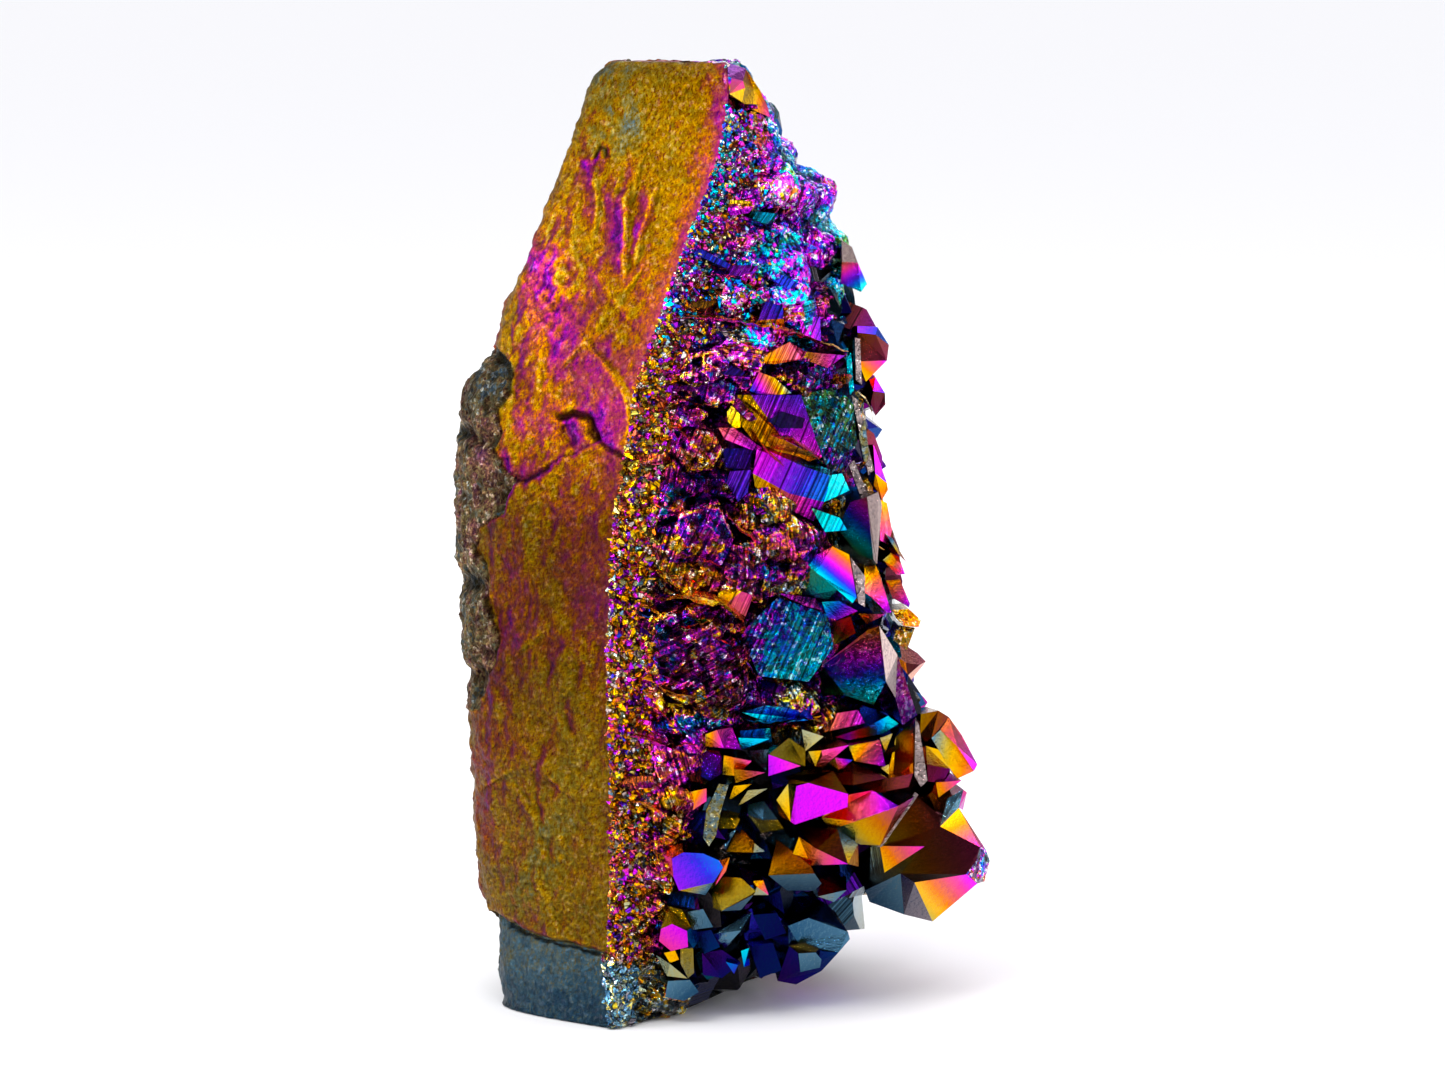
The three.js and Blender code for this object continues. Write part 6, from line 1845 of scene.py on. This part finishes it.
# How many cells or swells of a pattern there are in a metre.
SUGAR_CELLS = 1500.0
GRAIN_CELLS = 620.0
HACKLE_SWELLS = 600.0
SATIN_SWELLS = 1300.0
CLOUD_SWELLS = 260.0
LINE_SWELLS = 1.6  # growth lines in a millimetre of column
# The satin's height minus its height a step away paints light from one side onto it.
SATIN_STEP = (-0.0002, 0.0, 0.0001)  # metres between two places whose height is compared
FILM_JUMP = 0.3  # how much the film differs from one crystal to the next
DARK_OVER = 0.62  # grains with a chance over this are dark
# Painted glints: sugary crystals over GLINT_OVER get GLINT_COLOUR and more brightness.
GLINT_OVER = 0.88  # sugary crystals with a chance over this glint
GLINT_COLOUR = (0.8, 0.85, 0.9, 1.0)
BUMP_HEIGHT = 0.0005  # metres


class AuraCoat(Nodes):
    """Opaque metal film: its colour follows film, broken up by glitter."""

    def __init__(self):
        self.material = bpy.data.materials.new("aura_coat")
        super().__init__(self.material)
        self.place = self.tree.nodes.new("ShaderNodeTexCoord").outputs["Object"]
        self.film, self.glitter, self.shade, self.rough, self.along = map(self.attribute, ATTRIBUTES)
        self.sugar_film, self.sugar_luck, self.sugar_turn = self.crystals(SUGAR_CELLS)
        self.grain_film, self.grain_luck, self.grain_turn = self.crystals(GRAIN_CELLS)
        self.crests = self.hackle_crests()
        self.satin = self.noise(self.place, SATIN_SWELLS, 5.0, 0.68)
        beside = self.noise(self.vector("ADD", self.place, SATIN_STEP), SATIN_SWELLS, 5.0, 0.68)
        # grain: the satin's slope, used as painted light from one side.
        self.grain = self.math("SUBTRACT", self.satin, beside)
        self.clouds = self.centred(self.noise(self.place, CLOUD_SWELLS, 5.0, 0.6))
        self.lines = self.growth_lines()
        self.glints = self.glittering("GREATER_THAN", self.sugar_luck, GLINT_OVER)
        self.set(self.shader, "Base Color", self.vector("SCALE", self.with_painted_glints(), scale=self.shade_and_painted_light()))
        self.set(self.shader, "Metallic", 1.0)
        self.set(self.shader, "Roughness", self.math("MULTIPLY_ADD", self.clouds, 0.12, self.rough))
        self.set(self.shader, "Normal", self.tilted_normal())

    def crystals(self, scale):
        """Crystals by chance: for each two chances from 0 to 1, and three in one for its tilt."""
        pattern = self.add("ShaderNodeTexVoronoi", Vector=self.place, Scale=scale).outputs["Color"]
        chances = self.add("ShaderNodeSeparateColor", Color=pattern).outputs
        return chances["Red"], chances["Green"], pattern

    def noise(self, place, scale, detail, roughness):
        node = self.add("ShaderNodeTexNoise", Vector=place, Scale=scale, Detail=detail, Roughness=roughness)
        return node.outputs["Fac"]

    def centred(self, value):
        return self.math("SUBTRACT", value, 0.5)

    def glittering(self, operation, a, b):
        """What an operation gives, only as far as there is glitter."""
        return self.math("MULTIPLY", self.math(operation, a, b), self.glitter)

    def hackle_crests(self):
        """Sharp crests of the hackly fracture of the broken quartz."""
        off_crest = self.math("ABSOLUTE", self.centred(self.noise(self.place, HACKLE_SWELLS, 3.0, 0.55)))
        crest = self.math("SUBTRACT", 1.0, self.math("MULTIPLY", off_crest, 12.0))
        return self.glittering("MAXIMUM", crest, 0.0)

    def growth_lines(self):
        """Lines across the columns, by the distance along them."""
        lines = self.add("ShaderNodeTexNoise", Scale=LINE_SWELLS, Detail=4.0, Roughness=0.7)
        lines.noise_dimensions = "1D"
        self.set(lines, "W", self.along)
        return lines.outputs["Fac"]

    def film_value(self):
        """How thick the film is: clouded, thicker on left-facing slopes as painted side light, and by
        chance on crystals.
        """
        clouding = self.math("MULTIPLY_ADD", self.rough, 0.16, -0.02)
        value = self.math("MULTIPLY_ADD", self.clouds, clouding, self.film)
        facing_left = self.math("MAXIMUM", self.math("MULTIPLY", self.grain, -1.0), 0.0)
        value = self.math("MULTIPLY_ADD", facing_left, self.math("MULTIPLY", self.rough, 2.0), value)
        value = self.math("MULTIPLY_ADD", self.crests, -0.12, value)
        for crystal_film in (self.grain_film, self.sugar_film):
            jump = self.glittering("SUBTRACT", crystal_film, 0.5)
            value = self.math("MULTIPLY_ADD", jump, FILM_JUMP, value)
        return value

    def film_colour(self):
        """Colour of the film by its thickness."""
        thinnest, thickest = min(FILM_COLOURS), max(FILM_COLOURS)
        spread = thickest - thinnest
        along_ramp = self.math("MULTIPLY_ADD", self.film_value(), 1 / spread, -thinnest / spread)
        ramp = self.add("ShaderNodeValToRGB", Fac=along_ramp)
        stops = ramp.color_ramp.elements
        stops[0].color, stops[1].color = linear(FILM_COLOURS[thinnest]), linear(FILM_COLOURS[thickest])
        for film in sorted(FILM_COLOURS)[1:-1]:
            stop = stops.new((film - thinnest) / spread)
            stop.color = linear(FILM_COLOURS[film])
        return ramp.outputs["Color"]

    def with_painted_glints(self):
        """The film's colour, duller where it is dusty, with painted white glints on a few sugary crystals.
        """
        dusty = self.math("MAXIMUM", self.math("SUBTRACT", self.rough, 0.44), 0.0)
        saturation = self.math("MULTIPLY_ADD", dusty, -1.8, 1.02)
        muted = self.add("ShaderNodeHueSaturation", Color=self.film_colour(), Saturation=saturation)
        whiter = self.add("ShaderNodeMix", Factor=self.math("MULTIPLY", self.glints, 0.7))
        whiter.data_type = "RGBA"
        self.set(whiter, "_6", muted.outputs["Color"])
        self.set(whiter, "_7", GLINT_COLOUR)
        return whiter.outputs[2]

    def shade_and_painted_light(self):
        """The shade times each pattern: dark grains, growth lines, painted highlight on crests, painted
        side light, painted glints.
        """
        dark = self.glittering("GREATER_THAN", self.grain_luck, DARK_OVER)
        striped = self.math("MULTIPLY_ADD", self.centred(self.lines), 8.0, 1.0)
        threads = self.math("ABSOLUTE", self.math("SUBTRACT", self.lines, 0.55))
        factors = (
            self.math("SUBTRACT", 1.0, self.math("MULTIPLY", dark, 0.75)),
            self.math("MAXIMUM", striped, 0.15),
            self.math("MINIMUM", self.math("MULTIPLY_ADD", threads, 45.0, 0.1), 1.0),
            # painted highlight on the crests
            self.math("MULTIPLY_ADD", self.crests, 4.0, 1.0),
            # painted light from one side on the satin
            self.math("MULTIPLY_ADD", self.grain, self.math("MULTIPLY", self.rough, 8.0), 1.0),
            # painted glints
            self.math("MULTIPLY_ADD", self.glints, 3.0, 1.0),
        )
        keep = self.shade
        for factor in factors:
            keep = self.math("MULTIPLY", keep, factor)
        return keep

    def tilted_normal(self):
        """Relief finer than the mesh: satin, growth lines and crests, with every crystal tilted."""
        satin = self.math("MULTIPLY", self.satin, self.math("MULTIPLY", self.rough, 2.6))
        line_height = self.math("SUBTRACT", 0.35, self.rough)
        height = self.math("MULTIPLY_ADD", self.lines, line_height, satin)
        height = self.math("MULTIPLY_ADD", self.crests, 0.8, height)
        bump = self.add("ShaderNodeBump", Strength=0.8, Distance=BUMP_HEIGHT, Height=height)
        normal = bump.outputs["Normal"]
        for turn, strength in ((self.grain_turn, 1.1), (self.sugar_turn, 1.5)):
            tilt = self.vector("SUBTRACT", turn, (0.5, 0.5, 0.5))
            tilt = self.vector("SCALE", tilt, scale=self.math("MULTIPLY", self.glitter, strength))
            normal = self.vector("ADD", normal, tilt)
        return self.vector("NORMALIZE", normal)


# ---- Stage --------------------------------------------------------------------------------------

SENSOR_WIDTH = 36.0
FLOOR_REACH = 40.0  # metres from the middle of the floor to its edges
FLOOR_GAP = 0.0002  # metres from the floor up to the foot
PAPER = (0.88, 0.88, 0.89, 1)


def make_camera():
    data = bpy.data.cameras.new("camera")
    data.sensor_width = SENSOR_WIDTH
    data.lens = SENSOR_WIDTH * EYE_DISTANCE / SKETCH_WIDTH
    data.clip_start = 0.01
    data.clip_end = 200.0
    camera = bpy.data.objects.new("camera", data)
    camera.location = EYE * MM
    camera.rotation_euler = (math.pi / 2 - EYE_RISE, 0, 0)
    bpy.context.scene.collection.objects.link(camera)
    bpy.context.scene.camera = camera


def make_floor():
    material = bpy.data.materials.new("floor_paper")
    paper = Nodes(material)
    paper.set(paper.shader, "Base Color", PAPER)
    paper.set(paper.shader, "Roughness", 0.9)
    paper.set(paper.shader, "Specular IOR Level", 0.0)
    corners = [(FLOOR_REACH * x, FLOOR_REACH * y, 0) for x, y in ((-1, -1), (1, -1), (1, 1), (-1, 1))]
    mesh = bpy.data.meshes.new("floor")
    mesh.from_pydata(corners, [], [range(4)])
    mesh.materials.append(material)
    floor = bpy.data.objects.new("floor", mesh)
    floor.location.z = -FLOOR_GAP
    bpy.context.scene.collection.objects.link(floor)


# Light of the surroundings by the height it comes from: 0 is the horizon and all below, 1 overhead.
HORIZON_COLOUR = (0.55, 0.55, 0.56, 1)
OVERHEAD_COLOUR = (2.0, 2.0, 2.05, 1)
LEVELS_BETWEEN = ((0.25, 0.4), (0.45, 0.16), (0.6, 0.2), (0.75, 1.6))
BLUISH = 1.03  # how much more blue the levels between have


def make_world():
    """White to the camera. To everything else: bright overhead, darkest halfway up."""
    world = bpy.data.worlds.new("studio")
    bpy.context.scene.world = world
    world.use_nodes = True
    tree = world.node_tree
    tree.nodes.clear()
    link = tree.links.new
    coordinates = tree.nodes.new("ShaderNodeTexCoord")
    apart = tree.nodes.new("ShaderNodeSeparateXYZ")
    link(coordinates.outputs["Generated"], apart.inputs[0])
    ramp = tree.nodes.new("ShaderNodeValToRGB")
    stops = ramp.color_ramp.elements
    stops[0].color, stops[1].color = HORIZON_COLOUR, OVERHEAD_COLOUR
    for at, level in LEVELS_BETWEEN:
        stop = stops.new(at)
        stop.color = (level, level, level * BLUISH, 1)
    link(apart.outputs["Z"], ramp.inputs["Fac"])
    seen = tree.nodes.new("ShaderNodeBackground")
    seen.inputs["Color"].default_value = (1, 1, 1, 1)
    lit = tree.nodes.new("ShaderNodeBackground")
    link(ramp.outputs["Color"], lit.inputs["Color"])
    path = tree.nodes.new("ShaderNodeLightPath")
    mix = tree.nodes.new("ShaderNodeMixShader")
    link(path.outputs["Is Camera Ray"], mix.inputs["Fac"])
    link(lit.outputs[0], mix.inputs[1])
    link(seen.outputs[0], mix.inputs[2])
    output = tree.nodes.new("ShaderNodeOutputWorld")
    link(mix.outputs[0], output.inputs["Surface"])


# Softboxes and small lamps: place in metres, size, power in watts.
LIGHTS = {
    "left_softbox": ((-1.3, -0.45, 0.3), 0.5, 16),
    "right_softbox": ((1.3, 0.1, 0.4), 0.7, 5),
    "key_softbox": ((-0.5, -0.9, 1.5), 0.5, 7),
    "sparkle_1": ((-0.35, -1.3, 0.45), 0.03, 1.0),
    "sparkle_2": ((0.3, -1.2, 0.75), 0.03, 1.0),
    "sparkle_3": ((-0.8, -1.0, 0.7), 0.03, 1.0),
    "sparkle_4": ((0.8, -1.0, 0.35), 0.03, 1.0),
    "sparkle_5": ((0.05, -1.4, 0.2), 0.03, 0.8),
    "back_light": ((0.3, 1.2, 0.7), 0.8, 5),
}
LIT_POINT = (0, 0, 0.09)


def make_lights():
    for name, (place, size, power) in LIGHTS.items():
        data = bpy.data.lights.new(name, "AREA")
        data.shape = "DISK"
        data.size = size
        data.energy = power
        lamp = bpy.data.objects.new(name, data)
        lamp.location = place
        towards = np.array(LIT_POINT) - np.array(place)
        towards /= np.linalg.norm(towards)
        lamp.rotation_euler = (math.acos(-towards[2]), 0, math.atan2(-towards[0], towards[1]))
        lamp.visible_camera = False
        bpy.context.scene.collection.objects.link(lamp)


# ---- The whole cluster --------------------------------------------------------------------------

STRETCHES = {
    # name: first turn, last turn, columns, rows of the wall
    "broken_quartz": (0.0, 1.9, 168, 540),
    "crystal_side": (1.9, 4.4, 120, 260),
    "back": (4.4, 6.0, 90, 240),
    "rind": (6.0, 7.6, 110, 330),
    "agate_flank": (7.6, 9.0, 176, 500),
}
FLAT_SHADED = "broken_quartz"
FIRST_RIB = 300  # number of the first rib
POINTS_APART = 2000  # numbers kept for the points of one patch


def make_front_crystals(wall, coat):
    """The faceted crystals low on the front, and the thin slivers beside them."""
    faceted = Facets()
    for base_y, corners, faces in CRYSTALS:
        add_drawn(faceted, wall, base_y, corners, faces)
    for corners, y, film, shade in SLIVERS:
        named = {chr(ord("a") + n): (across, up, 0) for n, (across, up) in enumerate(corners)}
        face = ("".join(named), "ab", film, film, shade)
        add_drawn(faceted, wall, y, named, [face], thickness=SLIVER_THICKNESS, glitter=0.2)
    faceted.piece("front_crystals", coat)


def make_broken_columns(wall, coat):
    """The larger faces of the broken columns, with ribs, shards and folds among them."""
    broken = Facets()
    for base_y, corners, faces in FRONT_FACES:
        add_drawn(broken, wall, base_y, corners, faces, striated=True, rough=0.13, glitter=0.02)
    for n, rib in enumerate(RIBS):
        add_rib(broken, wall.y, *rib, seed=FIRST_RIB + n)
    strew_shards(broken, wall, [shard_faces(n) for n in range(LIBRARY)])
    strew_folds(broken, wall)
    broken.piece("broken_columns", coat)


def make_sugar_grains(front, coat):
    sugar = Facets()
    strew_grains(sugar, front, [grain_faces(n) for n in range(LIBRARY)])
    sugar.piece("sugar_grains", coat)


def make_side_crystals(coat):
    """The crystals round the right edge and on the side, strewn and drawn."""
    points = Facets()
    for n, patch in enumerate(POINT_PATCHES):
        strew_points(points, patch, POINTS_APART * (n + 1))
    for number, row in enumerate(DRAWN_POINTS):
        across, up, y, heading, lean, radius, spin, tip_film, root_film, shade = row
        add_crystal(
            points, from_sketch(across, up, y), sketch_axis(heading, lean), radius,
            math.radians(spin), min(FULL_LENGTH, 3.2 * radius), number, tip_film, root_film, shade,
        )
    points.piece("side_crystals", coat)


bpy.context.scene.view_settings.view_transform = "Standard"
make_camera()
make_floor()
make_world()
make_lights()

coat = AuraCoat().material
surfaces = {name: Surface(*numbers) for name, numbers in STRETCHES.items()}
for name, surface in surfaces.items():
    grid_piece(name, surface, coat, smooth=name != FLAT_SHADED)
front = surfaces["broken_quartz"]
wall = Wall(front)
make_front_crystals(wall, coat)
make_broken_columns(wall, coat)
make_sugar_grains(front, coat)
make_side_crystals(coat)
